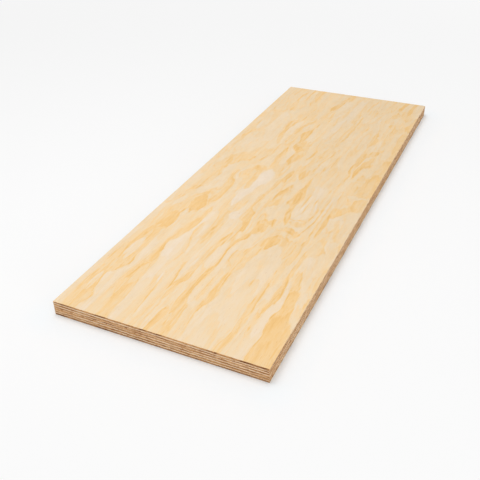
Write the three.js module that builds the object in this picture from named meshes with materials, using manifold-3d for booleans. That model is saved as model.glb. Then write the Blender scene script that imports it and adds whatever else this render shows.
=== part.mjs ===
// Plywood sheet, lying flat with its face veneer up: an odd stack of rotary-cut softwood veneers,
// glued with the grain of each one crossing the next, sawn to size and sanded.
// Millimetres, +Z up. +Y runs along the face grain, and the origin is the centre of the underside.

import * as THREE from "three";
import { mergeVertices } from "three/addons/utils/BufferGeometryUtils.js";
import Module from "manifold-3d";

const wasm = await Module();
wasm.setup();

// The sheet, as sawn
const SHEET_LENGTH = 700; // along the face grain
const SHEET_WIDTH = 250; // across the face grain

// The veneers, as pressed and sanded
const FACE_THICKNESS = 2.0; // the face, and the back
const OUTER_CROSSBAND_THICKNESS = 1.75; // the crossbands next to the face and next to the back
const INNER_THICKNESS = 1.5; // every veneer between those two crossbands
const CROSSBAND_COUNT = 5; // veneers that cross the face grain, each between two that follow it

// All four edges of the face, and of the back, are sanded round
const ARRIS_RADIUS = 0.5;
const ARRIS_SEGMENTS = 6;

// Finishes
const FACE_PINE = { color: 0xf0d6a8, roughness: 0.6, metalness: 0 };
const CENTRE_PINE = { color: 0xa9825c, roughness: 0.85, metalness: 0 };
const CROSSBAND_PINE = { color: 0xc9ab88, roughness: 0.8, metalness: 0 };

// ---- Between three.js geometries and manifold solids ----------------------------------------

function solidFrom(geometry) {
  const bare = geometry.clone();
  bare.deleteAttribute("normal");
  bare.deleteAttribute("uv");
  const merged = mergeVertices(bare);
  return new wasm.Manifold(
    new wasm.Mesh({
      numProp: 3,
      vertProperties: new Float32Array(merged.attributes.position.array),
      triVerts: new Uint32Array(merged.index.array),
    }),
  );
}

function geometryFrom(solid) {
  const mesh = solid.getMesh();
  const indexed = new THREE.BufferGeometry();
  indexed.setAttribute("position", new THREE.BufferAttribute(mesh.vertProperties, 3));
  indexed.setIndex(new THREE.BufferAttribute(mesh.triVerts, 1));
  const flatShaded = indexed.toNonIndexed();
  flatShaded.computeVertexNormals();
  return flatShaded;
}

// ---- Shapes: each has its underside at z = 0 and its grain along +Y --------------------------

// A sawn veneer inside the stack: square on every edge.
function squareVeneer(alongGrain, acrossGrain, thickness) {
  const [x, y] = [acrossGrain / 2, alongGrain / 2];
  const corners = [[-x, -y], [x, -y], [x, y], [-x, y]];
  const outline = new THREE.Shape(corners.map((corner) => new THREE.Vector2(...corner)));
  return new THREE.ExtrudeGeometry(outline, { depth: thickness, bevelEnabled: false });
}

// The section of a face veneer, `span` wide, with its two upper corners sanded round.
function sandedSection(span) {
  const side = span / 2;
  const shoulder = FACE_THICKNESS - ARRIS_RADIUS;
  const quarter = Math.PI / 2;
  const section = new THREE.Shape();
  section.moveTo(-side, 0);
  section.lineTo(side, 0);
  section.absarc(side - ARRIS_RADIUS, shoulder, ARRIS_RADIUS, 0, quarter, false);
  section.absarc(ARRIS_RADIUS - side, shoulder, ARRIS_RADIUS, quarter, 2 * quarter, false);
  section.closePath();
  return section;
}

// That section run straight along Y, from -run / 2 to run / 2.
function sandedRun(span, run) {
  const bar = new THREE.ExtrudeGeometry(sandedSection(span), {
    depth: run,
    bevelEnabled: false,
    curveSegments: ARRIS_SEGMENTS / 2, // three.js puts twice as many on an arc
  });
  return bar.rotateX(Math.PI / 2).translate(0, run / 2, 0);
}

// A veneer with all four upper edges sanded round: what the runs along and across the grain have
// in common, so the rounds meet in a mitre at each corner, as a sanding block leaves them.
function sandedVeneer() {
  const along = sandedRun(SHEET_WIDTH, SHEET_LENGTH);
  const across = sandedRun(SHEET_LENGTH, SHEET_WIDTH).rotateZ(Math.PI / 2);
  return geometryFrom(solidFrom(along).intersect(solidFrom(across)));
}

// ---- The veneers ----------------------------------------------------------------------------

function veneer(name, geometry, finish) {
  const mesh = new THREE.Mesh(geometry, new THREE.MeshStandardMaterial(finish));
  mesh.name = name;
  return mesh;
}

function faceVeneer() {
  return veneer("face_veneer", sandedVeneer(), FACE_PINE);
}

// The same veneer turned over, with its sanded side down.
function backVeneer() {
  const turned = sandedVeneer().rotateY(Math.PI).translate(0, 0, FACE_THICKNESS);
  return veneer("back_veneer", turned, FACE_PINE);
}

// Numbered from the face down, as the centre veneers are.
function crossband(number) {
  const outermost = number === 1 || number === CROSSBAND_COUNT;
  const thickness = outermost ? OUTER_CROSSBAND_THICKNESS : INNER_THICKNESS;
  const sheet = squareVeneer(SHEET_WIDTH, SHEET_LENGTH, thickness);
  const mesh = veneer(`crossband_${number}`, sheet, CROSSBAND_PINE);
  mesh.rotation.z = Math.PI / 2;
  return mesh;
}

function centreVeneer(number) {
  const sheet = squareVeneer(SHEET_LENGTH, SHEET_WIDTH, INNER_THICKNESS);
  return veneer(`centre_veneer_${number}`, sheet, CENTRE_PINE);
}

// ---- The sheet, laid up from the back to the face -------------------------------------------

const layUp = [backVeneer()];
for (let number = CROSSBAND_COUNT; number > 0; number--) {
  layUp.push(crossband(number));
  if (number > 1) layUp.push(centreVeneer(number - 1));
}
layUp.push(faceVeneer());

const plywood = new THREE.Group();
let top = 0;
for (const mesh of layUp) {
  mesh.position.z = top;
  mesh.geometry.computeBoundingBox();
  top += mesh.geometry.boundingBox.max.z; // each rests on the height that the last mesh has
  plywood.add(mesh);
}

export default plywood;
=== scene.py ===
# %% [markdown]
# # A sheet of plywood, veneer by veneer
# Plywood is an odd number of thin veneers, peeled from a log as paper comes off a roll, and glued with
# the grain of each one crossing the next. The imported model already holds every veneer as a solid. This
# lesson gives each of them the surface of real wood: the broad gold and cream figure of rotary-cut
# pine on the face, and sawn end grain and side grain on the four edges.

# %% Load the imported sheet
import math

import bpy
import numpy as np
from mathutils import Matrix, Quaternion, Vector


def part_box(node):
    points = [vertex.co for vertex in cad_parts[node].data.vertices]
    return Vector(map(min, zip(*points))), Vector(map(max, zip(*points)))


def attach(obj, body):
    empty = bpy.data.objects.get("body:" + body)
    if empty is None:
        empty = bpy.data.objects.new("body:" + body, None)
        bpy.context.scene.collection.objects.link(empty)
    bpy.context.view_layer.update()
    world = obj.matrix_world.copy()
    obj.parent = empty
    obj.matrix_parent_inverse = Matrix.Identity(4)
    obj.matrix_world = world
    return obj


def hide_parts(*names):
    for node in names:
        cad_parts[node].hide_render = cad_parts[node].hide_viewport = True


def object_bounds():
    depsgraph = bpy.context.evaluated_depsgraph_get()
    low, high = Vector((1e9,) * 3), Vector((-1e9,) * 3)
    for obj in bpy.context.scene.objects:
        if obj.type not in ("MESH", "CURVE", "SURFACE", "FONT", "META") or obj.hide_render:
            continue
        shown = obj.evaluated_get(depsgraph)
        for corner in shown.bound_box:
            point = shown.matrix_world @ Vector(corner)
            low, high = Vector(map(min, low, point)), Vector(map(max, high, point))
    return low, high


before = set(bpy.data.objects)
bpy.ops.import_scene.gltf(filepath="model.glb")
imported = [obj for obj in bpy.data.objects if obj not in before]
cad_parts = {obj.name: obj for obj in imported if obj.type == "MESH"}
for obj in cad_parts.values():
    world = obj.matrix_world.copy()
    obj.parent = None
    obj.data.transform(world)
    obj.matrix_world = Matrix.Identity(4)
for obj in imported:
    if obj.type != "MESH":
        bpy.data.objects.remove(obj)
cad_low, cad_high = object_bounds()
print("The sheet is", [round(1000 * v, 2) for v in cad_high - cad_low], "mm")

# %% [markdown]
# The camera comes first, because everything else is judged through it. It stands off the near end,
# to the right of the sheet, and looks down on it. The place, the two angles and the lens answer a
# perspective sum for a sheet of 250 by 700 mm. The small roll is how far the camera was off level.

# %% Camera
CAMERA_PLACE = Vector((0.2899, -0.7547, 0.4486))
CAMERA_AZIMUTH = math.radians(25.485)
CAMERA_ELEVATION = math.radians(33.315)
CAMERA_ROLL = math.radians(-1.10)
CAMERA_LENS = 48.72
CAMERA_NEAREST = 0.01

camera_data = bpy.data.cameras.new("camera")
camera_data.lens = CAMERA_LENS
camera_data.clip_start = CAMERA_NEAREST
camera = bpy.data.objects.new("camera", camera_data)
bpy.context.scene.collection.objects.link(camera)
towards_camera = Vector((
    math.sin(CAMERA_AZIMUTH) * math.cos(CAMERA_ELEVATION),
    -math.cos(CAMERA_AZIMUTH) * math.cos(CAMERA_ELEVATION),
    math.sin(CAMERA_ELEVATION),
))
camera.rotation_mode = "QUATERNION"
camera.rotation_quaternion = towards_camera.to_track_quat("Z", "Y") @ Quaternion((0, 0, 1), CAMERA_ROLL)
camera.location = CAMERA_PLACE
bpy.context.scene.camera = camera
print("Camera", round(camera.location.length, 3), "m from the middle of the underside")

# %% [markdown]
# Every material here is a small net of shader nodes. Wiring nodes by hand takes three lines each, so
# a few helpers come first. `place` adds a node and fills its inputs, each with a plain value or with
# another node's output. The kind is written without the word ShaderNode that Blender puts before it.
# `calc` and `calc_vector` do the same for one sum, `remap` and `blend_colour` for the two steps used
# most. With them a material reads from top to bottom like a recipe.

# %% Helpers for shader nodes
def place(tree, kind, wires=None, **options):
    """Adds a node, sets its options, and fills its inputs with values or with other nodes' outputs."""
    node = tree.nodes.new("ShaderNode" + kind)
    for option, value in options.items():
        setattr(node, option, value)
    for socket, value in (wires or {}).items():
        if isinstance(value, bpy.types.NodeSocket):
            tree.links.new(value, node.inputs[socket])
        else:
            node.inputs[socket].default_value = value
    return node


def calc(tree, operation, a, b=0.0, c=0.0):
    """One sum on numbers, as a node's output."""
    return place(tree, "Math", {0: a, 1: b, 2: c}, operation=operation).outputs[0]


def calc_vector(tree, operation, a, b=(0, 0, 0)):
    """One sum on vectors, as a node's output."""
    return place(tree, "VectorMath", {0: a, 1: b}, operation=operation).outputs[0]


def remap(tree, value, low, high, to_low=0.0, to_high=1.0):
    """A number moved from one range to another, with soft ends."""
    wires = {"Value": value, "From Min": low, "From Max": high, "To Min": to_low, "To Max": to_high}
    return place(tree, "MapRange", wires, interpolation_type="SMOOTHSTEP").outputs["Result"]


def blend_colour(tree, share, a, b, how="MIX"):
    """Colour b laid over colour a, as strongly as share says."""
    wires = {0: share, 6: a, 7: b}
    return place(tree, "Mix", wires, data_type="RGBA", blend_type=how).outputs[2]


# %% [markdown]
# The studio is a pale floor, a white sky and two soft lamps. The large one, high overhead, lights the
# face evenly and leaves only a soft line of shade where the sheet meets the floor. The small one
# stands low on the right, where a white card would stand, and lifts the right edge and the near end.
# The sky looks brighter to the camera and to reflections than it shines, which a Light Path node can
# tell apart, so the backdrop reads as white without more light on the wood.

# %% Sky and lamps
bpy.context.scene.view_settings.view_transform = "Standard"
SKY_STRENGTH = 0.50
SKY_LOOK = 0.93

world = bpy.data.worlds.new("studio")
world.use_nodes = True
bpy.context.scene.world = world
sky_tree = world.node_tree
background = sky_tree.nodes["Background"]
background.inputs["Color"].default_value = (1, 1, 1, 1)


def seen_not_lit(tree):
    """1 for rays from the camera, from a mirror or through glass, and 0 for rays that carry light."""
    path = place(tree, "LightPath")
    shown = calc(tree, "MAXIMUM", path.outputs["Is Camera Ray"], path.outputs["Is Glossy Ray"])
    return calc(tree, "MAXIMUM", shown, path.outputs["Is Transmission Ray"])


sky_mix = place(sky_tree, "Mix", {0: seen_not_lit(sky_tree), 2: SKY_STRENGTH, 3: SKY_LOOK})
sky_tree.links.new(sky_mix.outputs[0], background.inputs["Strength"])

LAMP_PLACE = Vector((-0.19, -0.25, 1.9))
LAMP_SIZE = (1.4, 1.4)
LAMP_POWER = 21.4

FILL_PLACE = Vector((1.3, -1.05, 0.16))
FILL_SIZE = (0.8, 0.28)
FILL_POWER = 2.8


def softbox(name, where, size, power):
    """A soft lamp, so wide and so high, that faces the sheet."""
    lamp_data = bpy.data.lights.new(name, "AREA")
    lamp_data.shape = "RECTANGLE"
    lamp_data.size, lamp_data.size_y = size
    lamp_data.energy = power
    lamp = bpy.data.objects.new(name, lamp_data)
    lamp.location = where
    lamp.rotation_mode = "QUATERNION"
    lamp.rotation_quaternion = where.to_track_quat("Z", "Y")
    bpy.context.scene.collection.objects.link(lamp)
    print(name, power, "W,", round(where.length, 2), "m away")


softbox("overhead_softbox", LAMP_PLACE, LAMP_SIZE, LAMP_POWER)
softbox("fill_card", FILL_PLACE, FILL_SIZE, FILL_POWER)

# %% [markdown]
# The floor is one very large pale plane. Real light falls off away from the lamp, which would leave
# the far floor grey, so the floor also glows a little, only for rays that look at it, and more the
# farther it is from under the lamp. It takes the shadow of the sheet as any floor does. Light that
# bounces off pine would stain a white floor orange close round the sheet, so there the floor is
# painted a very faint blue, and the two cancel out.

# %% Floor
FLOOR_SIZE = 12.0
FLOOR_DROP = 0.00005  # keeps it clear of the underside
FLOOR_COLOUR = (0.94, 0.94, 0.94, 1)
FLOOR_ROUGHNESS = 0.9
BLUSH_COLOUR = (0.90, 0.937, 0.962, 1)  # of the floor right beside the sheet
BLUSH_REACH = 0.045  # metres from the sheet
GLOW_NEAR = 0.022
GLOW_FAR = 0.50
GLOW_REACH = (0.2, 3.0)  # metres from under the lamp, between which the glow grows


def floor_material():
    """White paint, with its tint beside the sheet and its glow far from under the lamp."""
    material = bpy.data.materials.new("studio_floor")
    material.use_nodes = True
    tree = material.node_tree
    shader = tree.nodes["Principled BSDF"]
    shader.inputs["Roughness"].default_value = FLOOR_ROUGHNESS
    shader.inputs["Specular IOR Level"].default_value = 0.0
    shader.inputs["Emission Color"].default_value = (1, 1, 1, 1)
    where = place(tree, "TexCoord").outputs["Object"]
    beside = calc_vector(tree, "SUBTRACT", calc_vector(tree, "ABSOLUTE", where), tuple(cad_high))
    beside = calc_vector(tree, "MAXIMUM", beside)
    gap = place(tree, "VectorMath", {0: beside}, operation="LENGTH").outputs["Value"]
    blush = remap(tree, gap, 0.0, BLUSH_REACH, 1.0, 0.0)
    tree.links.new(blend_colour(tree, blush, FLOOR_COLOUR, BLUSH_COLOUR), shader.inputs["Base Color"])
    foot = (LAMP_PLACE.x, LAMP_PLACE.y, 0)
    far = place(tree, "VectorMath", {0: where, 1: foot}, operation="DISTANCE").outputs["Value"]
    glow = remap(tree, far, *GLOW_REACH, GLOW_NEAR, GLOW_FAR)
    tree.links.new(calc(tree, "MULTIPLY", glow, seen_not_lit(tree)), shader.inputs["Emission Strength"])
    return material


floor_mesh = bpy.data.meshes.new("studio_floor")
half = FLOOR_SIZE / 2
corners = [(-half, -half, 0), (half, -half, 0), (half, half, 0), (-half, half, 0)]
floor_mesh.from_pydata(corners, [], [(0, 1, 2, 3)])
floor_mesh.materials.append(floor_material())
studio_floor = bpy.data.objects.new("studio_floor", floor_mesh)
bpy.context.scene.collection.objects.link(studio_floor)
studio_floor.location.z = -FLOOR_DROP
print("Floor", FLOOR_SIZE, "m square")

# %% [markdown]
# Wood is never quite regular, so most of what follows bends or breaks up with noise. `smooth_noise`
# is the plain kind: random values on a grid, with soft curves between them. The values come from a
# seeded generator, so the sheet is the same each time the script runs.

# %% Noise
LATTICE = 128


def smooth_noise(u, v, seed):
    """Noise from -1 to 1 that changes over distances of about one in u and in v."""
    lattice = np.random.default_rng(seed).uniform(-1, 1, (LATTICE, LATTICE))
    column, row = np.floor(u).astype(int), np.floor(v).astype(int)
    a, b = u - column, v - row
    a, b = a * a * (3 - 2 * a), b * b * (3 - 2 * b)
    here, after = column % LATTICE, (column + 1) % LATTICE
    low, high = row % LATTICE, (row + 1) % LATTICE
    left = lattice[here, low] * (1 - b) + lattice[here, high] * b
    right = lattice[after, low] * (1 - b) + lattice[after, high] * b
    return left * (1 - a) + right * a


def soft_step(low, high, value):
    """0 below low, 1 above high, and a soft ramp between."""
    t = np.clip((value - low) / (high - low), 0, 1)
    return t * t * (3 - 2 * t)


# %% [markdown]
# A peeled veneer slices the growth rings at a very flat angle, so each ring spreads into a broad
# band. A band starts at a crisp edge, where one summer's dense gold wood stopped, and fades the other
# way into the pale wood that grew in spring. So a band is drawn here from a short list of knots, each
# a place along the grain with its crisp edge and its soft edge in millimetres, and a smooth curve
# joins the knots. Drawing bands one by one is slower than a noise texture, but only so does a face get
# the eyes, loops and long tongues that a real log gives.

# %% One band of gold or cream wood
BASE_TONE = 0.36  # of the wood between the bands
CRISP = 0.5       # mm over which the crisp edge turns
THINNEST = 0.4    # mm that every band is wide at least
BLUNT = 3.0       # mm that a band reaches past its end knots
POINTED = 7.0     # mm before them, where it starts to narrow
TIP_WIDTH = 0.25  # of the full width, at the tip
TIP_INSET = 0.4   # of the full width, that the crisp edge has moved inwards there
TIP_FADE = 0.25   # share of the narrowing over which the tip fades out
RUN_OFF = 8       # mm; a band whose end knot lies this close to an end of the sheet runs off it

# Lines along a gold band's crisp edge: (change of tone, mm inwards from that edge, mm of half width)
SUMMER_LINE = (0.32, 0.7, 0.8)   # the densest wood, just inside
# The spring line is partly the palest spring wood and partly a painted highlight beside raised summer wood
SPRING_AND_HIGHLIGHT_LINE = (0.26, -1.4, 1.0)  # the palest, just outside, where the next spring began


def through(y, knots_y, knots_x):
    """A smooth curve through the knots, read at every y."""
    knots_y, knots_x = np.asarray(knots_y, float), np.asarray(knots_x, float)
    slope = np.gradient(knots_x, knots_y)
    i = np.clip(np.searchsorted(knots_y, y) - 1, 0, len(knots_y) - 2)
    span = knots_y[i + 1] - knots_y[i]
    t = np.clip((y - knots_y[i]) / span, 0, 1)
    curve = (2 * t**3 - 3 * t**2 + 1) * knots_x[i] + (3 * t**2 - 2 * t**3) * knots_x[i + 1]
    return curve + span * ((t**3 - 2 * t**2 + t) * slope[i] + (t**3 - t**2) * slope[i + 1])


def edge_line(line, inward):
    """How much a line along the crisp edge changes the tone, that many millimetres inwards from it."""
    change, middle, half = line
    return change * np.exp(-((inward - middle) / half) ** 2)


def draw_band(tone, x, y, target, plateau, knots):
    """Pulls tone towards target inside the band, at full strength over the plateau's share of its width."""
    knots_y = [knot[0] for knot in knots]
    first = knots_y[0] if knots_y[0] > RUN_OFF else -math.inf
    last = knots_y[-1] if knots_y[-1] < 2 * HALF_LENGTH - RUN_OFF else math.inf
    near = (y > first - BLUNT) & (y < last + BLUNT)
    x, y = x[near], y[near]
    crisp = through(y, knots_y, [knot[1] for knot in knots])
    width = through(y, knots_y, [knot[2] for knot in knots]) - crisp
    tip = soft_step(-BLUNT, POINTED, y - first) * soft_step(-BLUNT, POINTED, last - y)
    crisp = crisp + width * TIP_INSET * (1 - tip)
    width = width * (TIP_WIDTH + (1 - TIP_WIDTH) * tip)
    width = np.where(np.abs(width) < THINNEST, np.copysign(THINNEST, width), width)
    across = (x - crisp) / width
    inward = (x - crisp) * np.sign(width)
    strength = soft_step(0, TIP_FADE, tip)
    mask = soft_step(-CRISP / 2, CRISP / 2, inward) * (1 - soft_step(plateau, 1, across)) * strength
    gold = max(target - BASE_TONE, 0)
    tone[near] += mask * (target + gold * edge_line(SUMMER_LINE, inward) - tone[near])
    # Pale spring wood outside the crisp edge, partly a painted highlight
    tone[near] -= gold * strength * edge_line(SPRING_AND_HIGHLIGHT_LINE, inward)


# %% [markdown]
# Some marks are too thin to be bands: a ring seen almost edge on, a pale vein between two gold ones,
# the stroke that closes an eye. Each is a smooth curve through a few points. It adds a written change
# to the tone, less than nothing for a pale vein, and dies away at both ends.

# %% One thin curve
LINE_STEP = 0.7    # mm between the places where a curve is tested
LINE_HALF = 0.8    # mm from the middle of a curve to where about a third of it is left
LINE_REACH = 3     # times LINE_HALF, beyond which nothing of it is left
LINE_DRAWN = 0.7   # of a millimetre, what one along the grain counts, so a curve blurs more that way
LINE_END = 0.08    # of half a wave, which is missing at both ends of its strength
LINE_FORCE = 1.45  # every written change counts this many times


def draw_line(tone, x, y, change, points):
    """Adds to tone along a smooth curve through the points, fading at both ends."""
    corners = np.arange(len(points), dtype=float)
    route_x, route_y = np.array(points, float).T
    length = np.hypot(np.diff(route_x), np.diff(route_y)).sum()
    walk = np.linspace(0, corners[-1], int(length / LINE_STEP) + 2)
    route_x, route_y = through(walk, corners, route_x), through(walk, corners, route_y)
    reach = LINE_REACH * LINE_HALF
    near = (x > route_x.min() - reach) & (x < route_x.max() + reach)
    near &= (y > route_y.min() - reach) & (y < route_y.max() + reach)
    distance = np.hypot(x[near, None] - route_x, (y[near, None] - route_y) * LINE_DRAWN)
    share = distance.argmin(axis=1) / (len(walk) - 1)
    fade = np.sin(np.pi * (LINE_END + (1 - 2 * LINE_END) * share)) ** 0.5
    tone[near] += LINE_FORCE * change * fade * np.exp(-(distance.min(axis=1) / LINE_HALF) ** 2)


# %% [markdown]
# The bands of the good face follow, in three lengths of the sheet. Each starts with its tone and the
# share of its width that keeps its full strength, and then come its knots: (millimetres from the near
# end, crisp edge, soft edge), both edges in millimetres from the left. The near length has two long
# eyes on the left, a pale spindle beside them, and a wide pale field on the right that a gold arch
# closes off. Later bands lie over earlier ones, so a pale eye comes after the gold round it.

# %% Tones, and the near length
PALE, CREAM, HONEY, GOLD, AMBER = 0.08, 0.24, 0.58, 0.80, 0.95

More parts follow.
